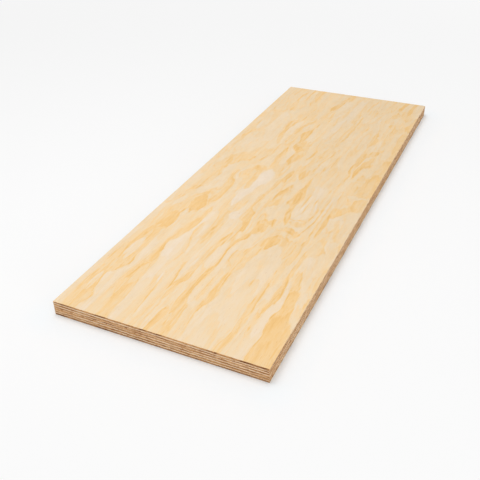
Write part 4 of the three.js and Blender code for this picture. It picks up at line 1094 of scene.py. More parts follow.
# %% The sawn edge
TOOTH_PITCH = 3.3  # mm between the ridges that the teeth leave
TOOTH_LEAN = 0.4   # mm that a ridge moves along the edge for each mm up
RIDGE = 0.012      # mm, half the depth between ridges
END_GRAIN_TEAR = 0.05
SIDE_GRAIN_TEAR = 0.015
SPLINTER_RARITY = 0.62
SPLINTER_DEPTH = 0.5
RIDGE_SEED = 90

# Sizes of the noises: (mm along the edge, mm up)
RIDGE_DRIFT = (30, 1)
FINE_TEAR = (0.9, 0.35)
BROAD_TEAR = (7, 0.8)
SPLINTER = (2.4, 0.5)


def edge_noise(size, z, seed):
    """Noise of that size at every column, at height z."""
    return smooth_noise(walked / size[0], np.full(COLUMNS, z / size[1]), seed)


def sawn_inset(z, end_grain, seed):
    """How far each column of an edge lies inside the outline at height z, in millimetres."""
    turns = (walked + TOOTH_LEAN * z) / TOOTH_PITCH
    ridges = RIDGE * (1 + np.sin(2 * np.pi * turns + edge_noise(RIDGE_DRIFT, z, RIDGE_SEED)))
    fine = 0.5 + 0.5 * edge_noise(FINE_TEAR, z, seed)
    broad = 0.5 + 0.5 * edge_noise(BROAD_TEAR, z, seed + 1)
    tear = (SIDE_GRAIN_TEAR + (END_GRAIN_TEAR - SIDE_GRAIN_TEAR) * end_grain) * (fine + broad)
    splinter = np.maximum(edge_noise(SPLINTER, z, seed + 2) - SPLINTER_RARITY, 0)
    return ridges + tear + splinter * SPLINTER_DEPTH


# %% [markdown]
# A veneer in the middle of the stack shows only a strip under 2 mm high, all the way round. Its mesh is
# that strip, eight rows high, and two flat caps that the neighbours hide. The rows crowd at the top
# and bottom, because there the saw and the glue leave a fine groove. `strip_faces` joins the rows to
# each other, and every veneer uses it.

# %% The strip round a veneer
GROOVE = ((0.0, 0.14), (0.07, 0.07), (0.22, 0.015))  # mm from the glue line, and how deep it is there


def strip_faces(rows):
    """Four-sided faces between one row of columns and the next one up."""
    here = np.arange(COLUMNS)
    after = (here + 1) % COLUMNS
    faces = []
    for row in range(rows - 1):
        low, high = row * COLUMNS, (row + 1) * COLUMNS
        faces.append(np.stack([low + here, low + after, high + after, high + here], axis=1))
    return np.concatenate(faces)


def inner_rows(low, high):
    """Heights and groove depths of a middle veneer's rows, from its underside up."""
    body = [(low + (high - low) * share, 0.0) for share in (1 / 3, 2 / 3)]
    below = [(low + gap, depth) for gap, depth in GROOVE]
    above = [(high - gap, depth) for gap, depth in reversed(GROOVE)]
    return below + body + above


# %% [markdown]
# Each veneer gets one square picture for its final textures, and a strip 1.9 m long and 1.5 mm high
# laid across it would come out hardly two pixels high. So the strip is cut into short lengths here,
# stacked like lines of text. The hidden caps get a small corner.

# %% Where each strip lies in its picture
PICTURE_MARGIN = 0.006


def strip_map(profile, height, lines):
    """Picture places of the strip's faces, in so many lines from the bottom up to that height."""
    per_line = -(-COLUMNS // lines)
    line, here = np.divmod(np.arange(COLUMNS), per_line)
    column_width = (1 - 2 * PICTURE_MARGIN) / per_line
    line_height = height / lines
    left, foot = PICTURE_MARGIN + here * column_width, PICTURE_MARGIN + line * line_height
    right = left + column_width
    rise = np.asarray(profile) / profile[-1] * (line_height - PICTURE_MARGIN)
    places = []
    for low, high in zip(rise[:-1], rise[1:]):
        corners = (left, foot + low), (right, foot + low), (right, foot + high), (left, foot + high)
        corners = [np.stack(corner, axis=1) for corner in corners]
        places.append(np.stack(corners, axis=1).reshape(-1, 2))
    return np.concatenate(places)


def cap_map(left, bottom, width, height):
    """Picture places of a cap's corners, in the order of the columns."""
    return np.stack([left + width * (column_x + 1) / 2, bottom + height * (column_y + 1) / 2], axis=1)


# %% [markdown]
# `finish_mesh` turns the numbers into a Blender object. Besides its shape, a veneer carries a few
# values at each point, as mesh attributes for its material to read: how far the nearest glue line is,
# whether the saw cut the fibres across or along, and for the two outer ones the figure.

# %% From numbers to an object
CREASE = math.radians(40)


def finish_mesh(name, points, faces, places, values):
    """An object from points in millimetres, faces, picture places and named values at the points."""
    mesh = bpy.data.meshes.new(name)
    mesh.from_pydata((points * 0.001).tolist(), [], faces)
    for value_name, numbers in values.items():
        attribute = mesh.attributes.new(value_name, "FLOAT", "POINT")
        attribute.data.foreach_set("value", np.asarray(numbers, np.float32))
    mesh.uv_layers.new(name="OFBake").data.foreach_set("uv", np.asarray(places, np.float32).ravel())
    mesh.shade_smooth()
    mesh.set_sharp_from_angle(angle=CREASE)
    piece = bpy.data.objects.new(name, mesh)
    bpy.context.scene.collection.objects.link(piece)
    return piece


# %% [markdown]
# Now the nine middle veneers. Those called crossbands have their fibres running across the sheet, so
# the saw cut them across on the long edges, and the centre veneers have it the other way round.

# %% A middle veneer
INNER_STRIP = (0.93, 26)  # height in its picture, and lines
LOWER_CAP = (0.02, 0.95, 0.1, 0.04)  # left, bottom, width and height
UPPER_CAP_ASIDE = (0.15, 0)
SEED_STEP = 0.37  # of a ring, from one seed to the next


def middle_veneer(name, low, high, crosswise, seed):
    """A veneer between those two heights, whose fibres run across the sheet or along it."""
    end_grain = 1 - on_end if crosswise else on_end
    rows = inner_rows(low, high)
    points, glue_gap = [], []
    for z, groove in rows:
        x, y = outline(groove + sawn_inset(z, end_grain, seed))
        points.append(np.stack([x, y, np.full(COLUMNS, z)], axis=1))
        glue_gap.append(np.full(COLUMNS, min(z - low, high - z)))
    top_row = (len(rows) - 1) * COLUMNS
    faces = strip_faces(len(rows)).tolist()
    faces.append(list(range(COLUMNS))[::-1])
    faces.append(list(range(top_row, top_row + COLUMNS)))
    strip = strip_map([z - low for z, _ in rows], *INNER_STRIP)
    cap = cap_map(*LOWER_CAP)
    places = np.concatenate([strip, cap[::-1], cap + UPPER_CAP_ASIDE])
    values = {
        "glue_gap": np.concatenate(glue_gap),
        "end_grain": np.tile(end_grain, len(rows)),
        "seed": np.full(len(rows) * COLUMNS, seed * SEED_STEP),
    }
    return finish_mesh(name, np.concatenate(points), faces, places, values)


# %% [markdown]
# The two outer veneers are different, for their outsides show. The face itself is a grid, fine enough
# to carry the figure. Round it runs a strip of columns again, and each cell on the grid's rim meets
# the columns beside it in one face, so the whole veneer is one closed skin.

# %% The grid of a face, and the rim that joins it to the strip
GRID_INSET = 2.5
grid_across = np.linspace(-1, 1, CELLS_ACROSS + 1)
grid_along = place_along(np.linspace(0, 1, CELLS_ALONG + 1))
GRID_ROW = CELLS_ACROSS + 1


def grid_points():
    """x and y of the grid's points, row after row from the near end."""
    x, y = np.meshgrid(grid_across * (HALF_WIDTH - GRID_INSET), grid_along * (HALF_LENGTH - GRID_INSET))
    return x.ravel(), y.ravel()


def grid_faces(start):
    """The grid's cells, whose points start at that number."""
    row, column = np.meshgrid(np.arange(CELLS_ALONG), np.arange(CELLS_ACROSS), indexing="ij")
    corner = start + row.ravel() * GRID_ROW + column.ravel()
    return np.stack([corner, corner + 1, corner + GRID_ROW + 1, corner + GRID_ROW], axis=1)


def grid_rim(start):
    """The grid's outermost points, walked round as the columns are, one for each cell passed."""
    across, along = np.arange(CELLS_ACROSS), np.arange(CELLS_ALONG)
    near = across
    right = along * GRID_ROW + CELLS_ACROSS
    far = CELLS_ALONG * GRID_ROW + CELLS_ACROSS - across
    left = (CELLS_ALONG - along) * GRID_ROW
    return start + np.concatenate([near, right, far, left])


def rim_faces(strip_row, start):
    """One face for each cell of the rim, between the strip's last row and the grid."""
    rim = grid_rim(start).tolist()
    steps = [STEPS_ACROSS] * CELLS_ACROSS + [STEPS_ALONG] * CELLS_ALONG
    faces, column = [], 0
    for cell, count in enumerate(steps * 2):
        outer = [strip_row + (column + i) % COLUMNS for i in range(count + 1)]
        faces.append(outer + [rim[(cell + 1) % len(rim)], rim[cell]])
        column += count
    return faces


# %% [markdown]
# A factory sands both outsides, and whoever cuts a sheet takes the sharpness off its edges with a
# block. So the strip of an outer veneer starts at the glue line, climbs the sawn edge, goes round a
# small radius in four steps and ends a little way in on the face. The radius wanders, because a block
# is held by hand.

# %% The section of an outer veneer's edge
ARRIS = 0.5          # mm, the radius that the sander leaves
ARRIS_WANDER = 0.22
ARC_STEPS = 4
FACE_RIM = 1.3       # mm in from the outline, where the last row lies
PLAIN_ROWS = (0.6, 0.42)  # shares of the thickness below the face, between the groove and the arris


def outer_rows(thickness):
    """Rows of an outer veneer from the glue line to its face: (depth below the face, groove, turn)."""
    rows = [(thickness - gap, depth, None) for gap, depth in GROOVE]
    rows += [(thickness * share, 0.0, None) for share in PLAIN_ROWS]
    for arc_step in range(ARC_STEPS + 1):
        rows.append((0.0, 0.0, math.pi / 2 * arc_step / ARC_STEPS))
    return rows


# %% [markdown]
# Sanding leaves the face almost flat: the hard summer wood resists the paper, so the soft spring wood
# between lies a few hundredths of a millimetre lower. The bands of the face don't stop at the arris
# either. They dive through the veneer at a slant, so the figure is asked again on the edge, a few
# millimetres aside for each millimetre down.

# %% The sanded face, and the strip round it
RING_SLANT = 4.0     # mm that a ring moves sideways for each mm down into the veneer
SPRING_SINK = 0.03   # mm that the soft spring wood lies below the hard summer wood after sanding
FACE_DEPTH = 0.002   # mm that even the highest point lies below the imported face
FACE_WAVE = 0.012    # mm, half the depth of the waves that a sander leaves
WAVE_SIZE = (30, 60)  # mm across and along
ARRIS_DRIFT, SLANT_DRIFT = (40, 1), (50, 1)  # sizes of the noises in the radius and the slant


def sanded_sink(x, y, tone, seed):
    """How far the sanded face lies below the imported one."""
    wave = FACE_WAVE * (1 + smooth_noise(x / WAVE_SIZE[0], y / WAVE_SIZE[1], seed))
    return FACE_DEPTH + wave + SPRING_SINK * (1 - np.clip(tone, 0, 1))


def outer_strip(thickness, figure_at, seed):
    """The strip's x, y and depth below the face, how sawn it is there, and its figure."""
    radius = ARRIS + ARRIS_WANDER * edge_noise(ARRIS_DRIFT, 0, seed)
    slant = RING_SLANT * (1 + edge_noise(SLANT_DRIFT, 0, seed + 1))
    x, y = outline(0.0)
    sink = sanded_sink(x, y, figure_at(x, y)[0], seed + 2)
    rows = []
    for depth, groove, turn in outer_rows(thickness):
        if turn is None:
            inset, down, sawn = groove, np.full(COLUMNS, depth), 1.0
        else:
            inset = radius * (1 - math.cos(turn))
            down = radius * (1 - math.sin(turn)) + sink * math.sin(turn)
            sawn = math.cos(turn)
        x, y = outline(inset + sawn * sawn_inset(thickness - float(down.mean()), on_end, seed + 3))
        rows.append((x, y, down, np.full(COLUMNS, sawn)))
    rows.append((*outline(FACE_RIM), sink, np.zeros(COLUMNS)))
    x, y, down, sawn = (np.concatenate(values) for values in zip(*rows))
    return x, y, down, sawn, figure_at(x + np.tile(slant, len(rows)) * down, y)


# %% [markdown]
# An outer veneer fills its picture differently. The strip gets the lower third, and above it the two
# halves of the face stand side by side, with the hidden cap in the narrow gap between them. The back
# is worked out face up as well and then turned over, so its x and its heights change sign.

# %% An outer veneer
OUTER_STRIP = (0.295, 13)  # height in its picture, and lines
HIDDEN_CAP = (0.4905, 0.32, 0.006, 0.6)  # left, bottom, width and height
HALF_FACE = (0.48, 0.68)  # width and height
FACE_BOTTOM, FAR_HALF_LEFT = 0.31, 0.5
ARC_PACE = 0.2  # mm that the picture gives each step of the arris


def face_map(x, y, far_half):
    """Picture places on the face, with its near half on the left and its far half on the right."""
    u = PICTURE_MARGIN + (x + HALF_WIDTH) / (2 * HALF_WIDTH) * HALF_FACE[0] + FAR_HALF_LEFT * far_half
    v = FACE_BOTTOM + (y + HALF_LENGTH * (1 - far_half)) / HALF_LENGTH * HALF_FACE[1]
    return np.stack([u, v], axis=-1)


def strip_profile(thickness):
    """How far each row of the strip lies from the glue line, measured over the surface."""
    upright = [thickness - depth for depth, _, turn in outer_rows(thickness) if turn is None]
    shoulder = thickness - ARRIS
    arc = [shoulder + ARC_PACE * (arc_step + 1) for arc_step in range(ARC_STEPS)]
    return upright + [shoulder] + arc + [arc[-1] + FACE_RIM - ARRIS]


def outer_veneer(name, low, high, figure_at, face_up, seed):
    """The face or the back, between those two heights, with the figure that figure_at gives it."""
    thickness = high - low
    strip_x, strip_y, strip_depth, strip_sawn, strip_figure = outer_strip(thickness, figure_at, seed)
    x, y = grid_points()
    figure = figure_at(x, y)
    depth = np.concatenate([strip_depth, sanded_sink(x, y, figure[0], seed + 2)])
    x, y = np.concatenate([strip_x, x]), np.concatenate([strip_y, y])
    count = len(strip_x)
    cells = grid_faces(count)
    rims = rim_faces(count - COLUMNS, count)
    faces = strip_faces(count // COLUMNS).tolist() + [list(range(COLUMNS))[::-1]] + cells.tolist() + rims
    strip = strip_map(strip_profile(thickness), *OUTER_STRIP)
    cap = cap_map(*HIDDEN_CAP)
    cell_half = (y[cells].mean(axis=1) > 0).astype(float)[:, None]
    places = [strip, cap[::-1], face_map(x[cells], y[cells], cell_half).reshape(-1, 2)]
    for rim in rims:
        places.append(face_map(x[rim], y[rim], float(y[rim].mean() > 0)))
    turned = 1 if face_up else -1
    z = high - depth if face_up else low + depth
    values = {
        "sawn": np.concatenate([strip_sawn, np.zeros(len(x) - count)]),
        "end_grain": np.concatenate([np.tile(on_end, count // COLUMNS), np.zeros(len(x) - count)]),
        "glue_gap": np.maximum(thickness - depth, 0),
    }
    for value_name, on_strip, on_grid in zip(("figure", "years", "shade"), strip_figure, figure):
        values[value_name] = np.concatenate([on_strip, on_grid])
    return finish_mesh(name, np.stack([turned * x, y, z], axis=1), faces, np.concatenate(places), values)


# %% [markdown]
# The materials use the same few effects in different strengths, so each effect is a node group, made
# once and placed where it is needed. These helpers make a group with named inputs and outputs, place
# it, and give it the vector that all wood effects read: how far a point is across the grain, along it
# and up, in millimetres.

# %% Helpers for node groups
SOCKET_KINDS = {type(None): "NodeSocketVector", float: "NodeSocketFloat", tuple: "NodeSocketColor"}
NOISE_SPAN = (0.3, 0.7)  # nearly all noise lies between these


def new_group(name, inputs):
    """A node group and its inputs' outlets. Inputs are a number, a colour, or None for a vector."""
    tree = bpy.data.node_groups.new(name, "ShaderNodeTree")
    for socket_name, value in inputs.items():
        kind = SOCKET_KINDS[type(value)]
        socket = tree.interface.new_socket(socket_name, in_out="INPUT", socket_type=kind)
        if value is not None:
            socket.default_value = value
    return tree, tree.nodes.new("NodeGroupInput").outputs


def close_group(tree, outlets):
    """Gives a group its outputs, numbers or colours, and joins what feeds them."""
    for socket_name, outlet in outlets.items():
        kind = SOCKET_KINDS[tuple if outlet.type == "RGBA" else float]
        tree.interface.new_socket(socket_name, in_out="OUTPUT", socket_type=kind)
    made = tree.nodes.new("NodeGroupOutput").inputs
    for socket_name, outlet in outlets.items():
        tree.links.new(outlet, made[socket_name])
    print("Group", tree.name, "puts out", ", ".join(outlets))
    return tree


def use_group(tree, group, wires):
    """A group placed in a tree, with its own values."""
    return place(tree, "Group", wires, node_tree=group).outputs


def grain_frame(tree, crosswise):
    """The place in millimetres as (across the grain, along it, up), whichever way the fibres run."""
    where = place(tree, "TexCoord").outputs["Object"]
    axes = place(tree, "SeparateXYZ", {0: where}).outputs
    order = (1, 0, 2) if crosswise else (0, 1, 2)
    turned = place(tree, "CombineXYZ", {i: axes[order[i]] for i in range(3)}).outputs[0]
    return place(tree, "VectorMath", {0: turned, 3: 1000.0}, operation="SCALE").outputs[0]


def specks(tree, grain, size, detail, roughness):
    """Noise around a half, whose specks have that size: (mm across the grain, along it, up)."""
    vector = calc_vector(tree, "MULTIPLY", grain, tuple(1 / length for length in size))
    wires = {"Vector": vector, "Scale": 1.0, "Detail": detail, "Roughness": roughness}
    return place(tree, "TexNoise", wires).outputs[0]


def value_at(tree, name):
    """One of the values that the mesh carries at its points."""
    return place(tree, "Attribute", attribute_name=name).outputs["Fac"]


def paint(red, green, blue):
    """A colour as a paint mixer writes it, 0 to 255, in the linear light that shaders work in."""
    def linear(level):
        """The sRGB standard's curve."""
        level = level / 255
        return level / 12.92 if level <= 0.04045 else ((level + 0.055) / 1.055) ** 2.4
    return (linear(red), linear(green), linear(blue), 1.0)


# %% [markdown]
# Pine is a bundle of hollow fibres a few hundredths of a millimetre thick and a few millimetres long.
# Nobody sees one, but together they show as fine silk along the grain, as broader streaks where the
# colour of the log varies, and as short brown flecks where a resin canal was cut open. All three are
# noise, squeezed hard across the grain and drawn out along it.

# %% Wood fibres
# Specks of each kind: their size, detail and roughness
SILK = ((0.45, 9.0, 0.45), 2.0, 0.5)
STREAK = ((2.4, 70.0, 2.4), 3.0, 0.6)
FLECK = ((0.55, 7.0, 0.8), 1.0, 0.5)
FLECK_EDGE = 0.06  # of noise, over which a fleck grows to full strength

tree, given = new_group("Wood fibres", {"Grain": None, "Fleck Rarity": 0.68})
silk = specks(tree, given["Grain"], *SILK)
streak = specks(tree, given["Grain"], *STREAK)
fleck = specks(tree, given["Grain"], *FLECK)
full_fleck = calc(tree, "ADD", given["Fleck Rarity"], FLECK_EDGE)
fleck = remap(tree, fleck, given["Fleck Rarity"], full_fleck)
wood_fibres = close_group(tree, {"Silk": silk, "Streak": streak, "Fleck": fleck})

# %% [markdown]
# On the edges the growth rings of each veneer show in section. They lie almost flat in it, so one
# ring crosses the strip at a low slant: a dark dash some ten millimetres long where the saw cut across
# the fibres, and a line that runs on and on where it cut along them. The group counts rings upward
# through the veneer, after noise has bent them, and makes a slow climb and a sharp drop of each.

# %% Growth rings
RING_BEND = ((26.0, 240.0, 40.0), 3.0, 0.55)
SEED_APART = 97.0  # mm between the places in the log that seeds 0 and 1 look at
RING_CLIMB, RING_DROP = (0.3, 0.88), (0.93, 0.995)  # shares of a ring where summer wood comes, and stops

tree, given = new_group("Growth rings", {"Grain": None, "Seed": 0.0, "Ring Width": 2.2, "Wander": 9.0})
shift = place(tree, "CombineXYZ", {0: given["Seed"], 1: given["Seed"]}).outputs[0]
shift = place(tree, "VectorMath", {0: shift, 3: SEED_APART}, operation="SCALE").outputs[0]
bend = specks(tree, calc_vector(tree, "ADD", given["Grain"], shift), *RING_BEND)
up = place(tree, "SeparateXYZ", {0: given["Grain"]}).outputs[2]
wander = calc(tree, "MULTIPLY", calc(tree, "SUBTRACT", bend, 0.5), given["Wander"])
height = calc(tree, "DIVIDE", calc(tree, "ADD", up, wander), given["Ring Width"])
ring = calc(tree, "FRACT", calc(tree, "ADD", height, given["Seed"]))
climb = remap(tree, ring, *RING_CLIMB)
drop = remap(tree, ring, *RING_DROP, 1.0, 0.0)
growth_rings = close_group(tree, {"Summer Wood": calc(tree, "MULTIPLY", climb, drop)})

# %% [markdown]
# The glue is a dark resin, and it shows as a thin brown line between two veneers. The press squeezes
# it out here and lets it soak in there, so the line swells and thins. The mesh says how far the
# nearest glue line is, and noise sets how far the brown reaches.

# %% Glue line
GLUE_SWELL = ((5.0, 14.0, 1.2), 3.0, 0.6)
THIN_LINE, THICK_LINE = 0.4, 1.5  # times the reach
GLUE_CORE = 0.35  # share of the reach that is solid brown

tree, given = new_group("Glue line", {"Gap": 1.0, "Grain": None, "Reach": 0.12})
swell = remap(tree, specks(tree, given["Grain"], *GLUE_SWELL), *NOISE_SPAN, THIN_LINE, THICK_LINE)
reach = calc(tree, "MULTIPLY", given["Reach"], swell)
core = calc(tree, "MULTIPLY", reach, GLUE_CORE)
glue_line = close_group(tree, {"Glue": remap(tree, given["Gap"], core, reach, 1.0, 0.0)})

# %% [markdown]
# The saw's teeth rub as well as cut. Their faint upright ridges catch a little light, and where the
# blade lingered the wood is toasted a shade darker. On an edge only one of x and y changes, so their
# sum is a ruler that works on all four sides, and a share of z leans the marks as a round blade does.

# %% Saw marks
MARK_DRIFT = ((30.0, 30.0, 6.0), 2.0, 0.5)
TOAST = ((34.0, 34.0, 9.0), 3.0, 0.6)
TOAST_SPAN = (0.45, 0.75)  # of that noise, from untouched wood to the darkest

tree, given = new_group("Saw marks", {"Grain": None})
axes = place(tree, "SeparateXYZ", {0: given["Grain"]}).outputs
ruler = calc(tree, "MULTIPLY_ADD", axes[2], TOOTH_LEAN, calc(tree, "ADD", axes[0], axes[1]))
drift = specks(tree, given["Grain"], *MARK_DRIFT)
ruler = calc(tree, "MULTIPLY_ADD", drift, TOOTH_PITCH, ruler)
wave = calc(tree, "SINE", calc(tree, "MULTIPLY", ruler, 2 * math.pi / TOOTH_PITCH))
toast = remap(tree, specks(tree, given["Grain"], *TOAST), *TOAST_SPAN)
saw_marks = close_group(tree, {"Ridge": calc(tree, "MULTIPLY_ADD", wave, 0.5, 0.5), "Toast": toast})

# %% [markdown]
# A sawn edge is the sum of these. Cut across, the open fibre ends swallow light and the wood looks
# brown, its summer wood darkest of all. Cut along, it stays nearly as pale as the face. `End Grain`
# says which of the two a point is, so the same group dresses every veneer on every side. Dark dashes
# some millimetres long lie over both, where dense wood was cut open or a gap in a veneer shows.

# %% Sawn edge
PITS = ((2.2, 2.2, 0.6), 3.0, 0.6)
PIT_SPAN = (0.2, 0.8)  # of that noise
DASHES = ((7.0, 7.0, 1.0), 2.0, 0.55)
DASH_EDGE = 0.1    # of noise, over which a dash grows to full strength
RING_BREAK = 0.6   # how strongly silk and pits break up the rings
TOAST_SHARE, FLECK_SHARE, DASH_SHARE, GLUE_SHARE = 0.22, 0.45, 0.8, 0.85
RIDGE_HEIGHT, SILK_HEIGHT, GLUE_HEIGHT = 0.35, 0.5, -0.6  # beside 1 for the pits
STREAK_LIGHT = (0.92, 1.08)
SAWN_ROUGHNESS = (0.72, 0.9)

tree, given = new_group("Sawn edge", {
    "Grain": None, "Summer Wood": 0.5, "End Grain": 0.0, "Gap": 1.0,
    "Spring Along": paint(250, 223, 186), "Summer Along": paint(218, 169, 115),
    "Spring Across": paint(236, 191, 141), "Summer Across": paint(160, 100, 47),
    "Glue Colour": paint(148, 80, 28), "Dash Rarity": 0.56,
})
fibre = use_group(tree, wood_fibres, {"Grain": given["Grain"], "Fleck Rarity": 0.64})
marks = use_group(tree, saw_marks, {"Grain": given["Grain"]})
glue = use_group(tree, glue_line, {"Gap": given["Gap"], "Grain": given["Grain"]})["Glue"]
pits = specks(tree, given["Grain"], *PITS)
dash = specks(tree, given["Grain"], *DASHES)
dash = remap(tree, dash, given["Dash Rarity"], calc(tree, "ADD", given["Dash Rarity"], DASH_EDGE))
ring_tones = []
for breaking in (fibre["Silk"], pits):
    breaking = calc(tree, "SUBTRACT", breaking, 0.5)
    ring_tones.append(calc(tree, "MULTIPLY_ADD", breaking, RING_BREAK, given["Summer Wood"]))
along = blend_colour(tree, ring_tones[0], given["Spring Along"], given["Summer Along"])
across = blend_colour(tree, ring_tones[1], given["Spring Across"], given["Summer Across"])
colour = blend_colour(tree, given["End Grain"], along, across)
shade = remap(tree, fibre["Streak"], *NOISE_SPAN, *STREAK_LIGHT)
shade = place(tree, "CombineColor", {0: shade, 1: shade, 2: shade}).outputs[0]
colour = blend_colour(tree, 1.0, colour, shade, "MULTIPLY")
for mark, share in ((marks["Toast"], TOAST_SHARE), (fibre["Fleck"], FLECK_SHARE), (dash, DASH_SHARE)):
    colour = blend_colour(tree, calc(tree, "MULTIPLY", mark, share), colour, given["Summer Across"])
colour = blend_colour(tree, calc(tree, "MULTIPLY", glue, GLUE_SHARE), colour, given["Glue Colour"])
rough = remap(tree, pits, *PIT_SPAN, *SAWN_ROUGHNESS)
height = calc(tree, "MULTIPLY", pits, given["End Grain"])
for relief, share in ((marks["Ridge"], RIDGE_HEIGHT), (fibre["Silk"], SILK_HEIGHT), (glue, GLUE_HEIGHT)):
    height = calc(tree, "MULTIPLY_ADD", relief, share, height)
sawn_edge = close_group(tree, {"Colour": colour, "Roughness": rough, "Height": height})

# %% [markdown]
# The materials themselves are then short. Every one starts from a plain Principled shader and ends
# with a bump, so those are helpers too.

# %% A new wood material
def new_wood(name, specular):
    """A material, its tree and its Principled shader."""
    material = bpy.data.materials.new(name)
    material.use_nodes = True
    shader = material.node_tree.nodes["Principled BSDF"]
    shader.inputs["Specular IOR Level"].default_value = specular
    return material, material.node_tree, shader


def dress(tree, shader, colour, roughness, height, depth):
    """Joins a colour, a roughness and a height, whose bumps are that many metres deep, to the shader."""
    bump = place(tree, "Bump", {"Strength": 1.0, "Distance": depth, "Height": height})
    tree.links.new(colour, shader.inputs["Base Color"])
    tree.links.new(roughness, shader.inputs["Roughness"])
    tree.links.new(bump.outputs["Normal"], shader.inputs["Normal"])


# %% [markdown]
# A middle veneer is all sawn edge. The crossbands are cut from the paler outside of the log, and
# the centre veneers from darker wood nearer the heart, and the fibres of the two cross.

# %% Middle veneers
EDGE_BUMP = 0.00008  # metres
SAWN_SPECULAR = 0.12
CENTRE_COLOURS = {"Spring Across": paint(229, 177, 122), "Summer Across": paint(150, 86, 34)}
CROSSBAND_COLOURS = {"Spring Along": paint(252, 227, 194)}


def sawn_outputs(tree, grain, summer, changes):
    """The group "Sawn edge" in a material, fed with what the mesh carries, and with a few values changed."""
    wires = {"Grain": grain, "Summer Wood": summer}
    wires["End Grain"] = value_at(tree, "end_grain")
    wires["Gap"] = value_at(tree, "glue_gap")
    return use_group(tree, sawn_edge, {**wires, **changes})


def inner_wood(name, crosswise, colours):
    """The wood of middle veneers whose fibres run across the sheet or along it."""
    material, tree, shader = new_wood(name, SAWN_SPECULAR)
    grain = grain_frame(tree, crosswise)
    summer = use_group(tree, growth_rings, {"Grain": grain, "Seed": value_at(tree, "seed")})["Summer Wood"]
    edge = sawn_outputs(tree, grain, summer, colours)
    dress(tree, shader, edge["Colour"], edge["Roughness"], edge["Height"], EDGE_BUMP)
    return material


centre_wood = inner_wood("sawn_centre_pine", False, CENTRE_COLOURS)
crossband_wood = inner_wood("sawn_crossband_pine", True, CROSSBAND_COLOURS)
print("Materials", centre_wood.name, "and", crossband_wood.name)

# %% [markdown]
# The face runs through a ramp of colours, from pale spring wood through cream to gold, and the tone
# says where on it a point lies. The ramp counts from 0 to 1, so the tone is brought there first.

# %% The colours of the face
TONE_LOW, TONE_HIGH = -0.5, 1.4
FACE_TONES = (
    (-0.50, paint(242, 223, 200)),
    (0.00, paint(241, 218, 187)),
    (0.30, paint(241, 215, 177)),
    (0.65, paint(244, 209.5, 158)),
    (1.00, paint(243, 200.5, 136)),
    (1.35, paint(238, 190, 117)),
)


def tone_ramp(tree, tone):
    """Cream to gold, as the tone rises."""
    ramp = place(tree, "ValToRGB")
    stops = ramp.color_ramp.elements
    while len(stops) < len(FACE_TONES):
        stops.new(1.0)
    for stop, (position, colour) in zip(stops, FACE_TONES):
        stop.position = (position - TONE_LOW) / (TONE_HIGH - TONE_LOW)
        stop.color = colour
    wires = {"Value": tone, "From Min": TONE_LOW, "From Max": TONE_HIGH}
    tree.links.new(place(tree, "MapRange", wires).outputs["Result"], ramp.inputs[0])
    return ramp.outputs[0]


print(len(FACE_TONES), "colours from tone", TONE_LOW, "to", TONE_HIGH)

# %% [markdown]
# Sanded wood starts from the tone that the mesh carries, and three things are added to it. The finest
# ring lines grow darker through each year and stop at once, with the pale start of the next year
# beside them. The silk breaks up the edges of the bands as fibres do, and streaks vary the tone along
# them. Then it becomes a colour, which the shade greys and a few flecks cross. The face and the back
# both use it.

# %% Sanded wood
YEAR_WANDER = 0.6  # years that the streaks move a ring line by
YEAR_CLIMB, YEAR_DROP = (0.45, 0.9), (0.93, 1.0)  # shares of a year where its line comes, and stops
YEAR_START, PALE_START = (0.0, 0.25), -0.5  # where the next one is still pale, and how much
YEAR_LINES, SILK_TONE, STREAK_TONE = 0.26, 0.5, 0.35  # what each of them adds to the tone
SILK_SHADE, SHADE_COLOUR = 0.5, (0.905, 0.903, 0.90, 1)
FACE_FLECK_SHARE, FLECK_COLOUR = 0.3, paint(205, 150, 95)
SUMMER_TONES = (0.4, 0.95)  # between which a tone turns to summer wood on the edge
SANDED_ROUGHNESS, SILK_ROUGHNESS = 0.5, 0.2  # at least, and what the silk adds
TONE_HEIGHT = 0.6  # beside 1 for the silk

tree, given = new_group("Sanded wood", {"Grain": None, "Figure": BASE_TONE, "Years": 0.0, "Shade": 0.0})
fibre = use_group(tree, wood_fibres, {"Grain": given["Grain"], "Fleck Rarity": 0.7})
year = calc(tree, "FRACT", calc(tree, "MULTIPLY_ADD", fibre["Streak"], YEAR_WANDER, given["Years"]))
line = calc(tree, "MULTIPLY", remap(tree, year, *YEAR_CLIMB), remap(tree, year, *YEAR_DROP, 1.0, 0.0))
line = calc(tree, "ADD", remap(tree, year, *YEAR_START, PALE_START, 0.0), line)
silk = calc(tree, "SUBTRACT", fibre["Silk"], 0.5)
streak = calc(tree, "SUBTRACT", fibre["Streak"], 0.5)
tone = given["Figure"]
for change, share in ((line, YEAR_LINES), (silk, SILK_TONE), (streak, STREAK_TONE)):
    tone = calc(tree, "MULTIPLY_ADD", change, share, tone)
shade = calc(tree, "MULTIPLY_ADD", silk, SILK_SHADE, given["Shade"])
colour = blend_colour(tree, shade, tone_ramp(tree, tone), SHADE_COLOUR, "MULTIPLY")
colour = blend_colour(tree, calc(tree, "MULTIPLY", fibre["Fleck"], FACE_FLECK_SHARE), colour, FLECK_COLOUR)
summer = remap(tree, tone, *SUMMER_TONES)
rough = calc(tree, "MULTIPLY_ADD", fibre["Silk"], SILK_ROUGHNESS, SANDED_ROUGHNESS)
height = calc(tree, "MULTIPLY_ADD", tone, TONE_HEIGHT, fibre["Silk"])
made = {"Colour": colour, "Summer Wood": summer, "Roughness": rough, "Height": height}
sanded_wood = close_group(tree, made)
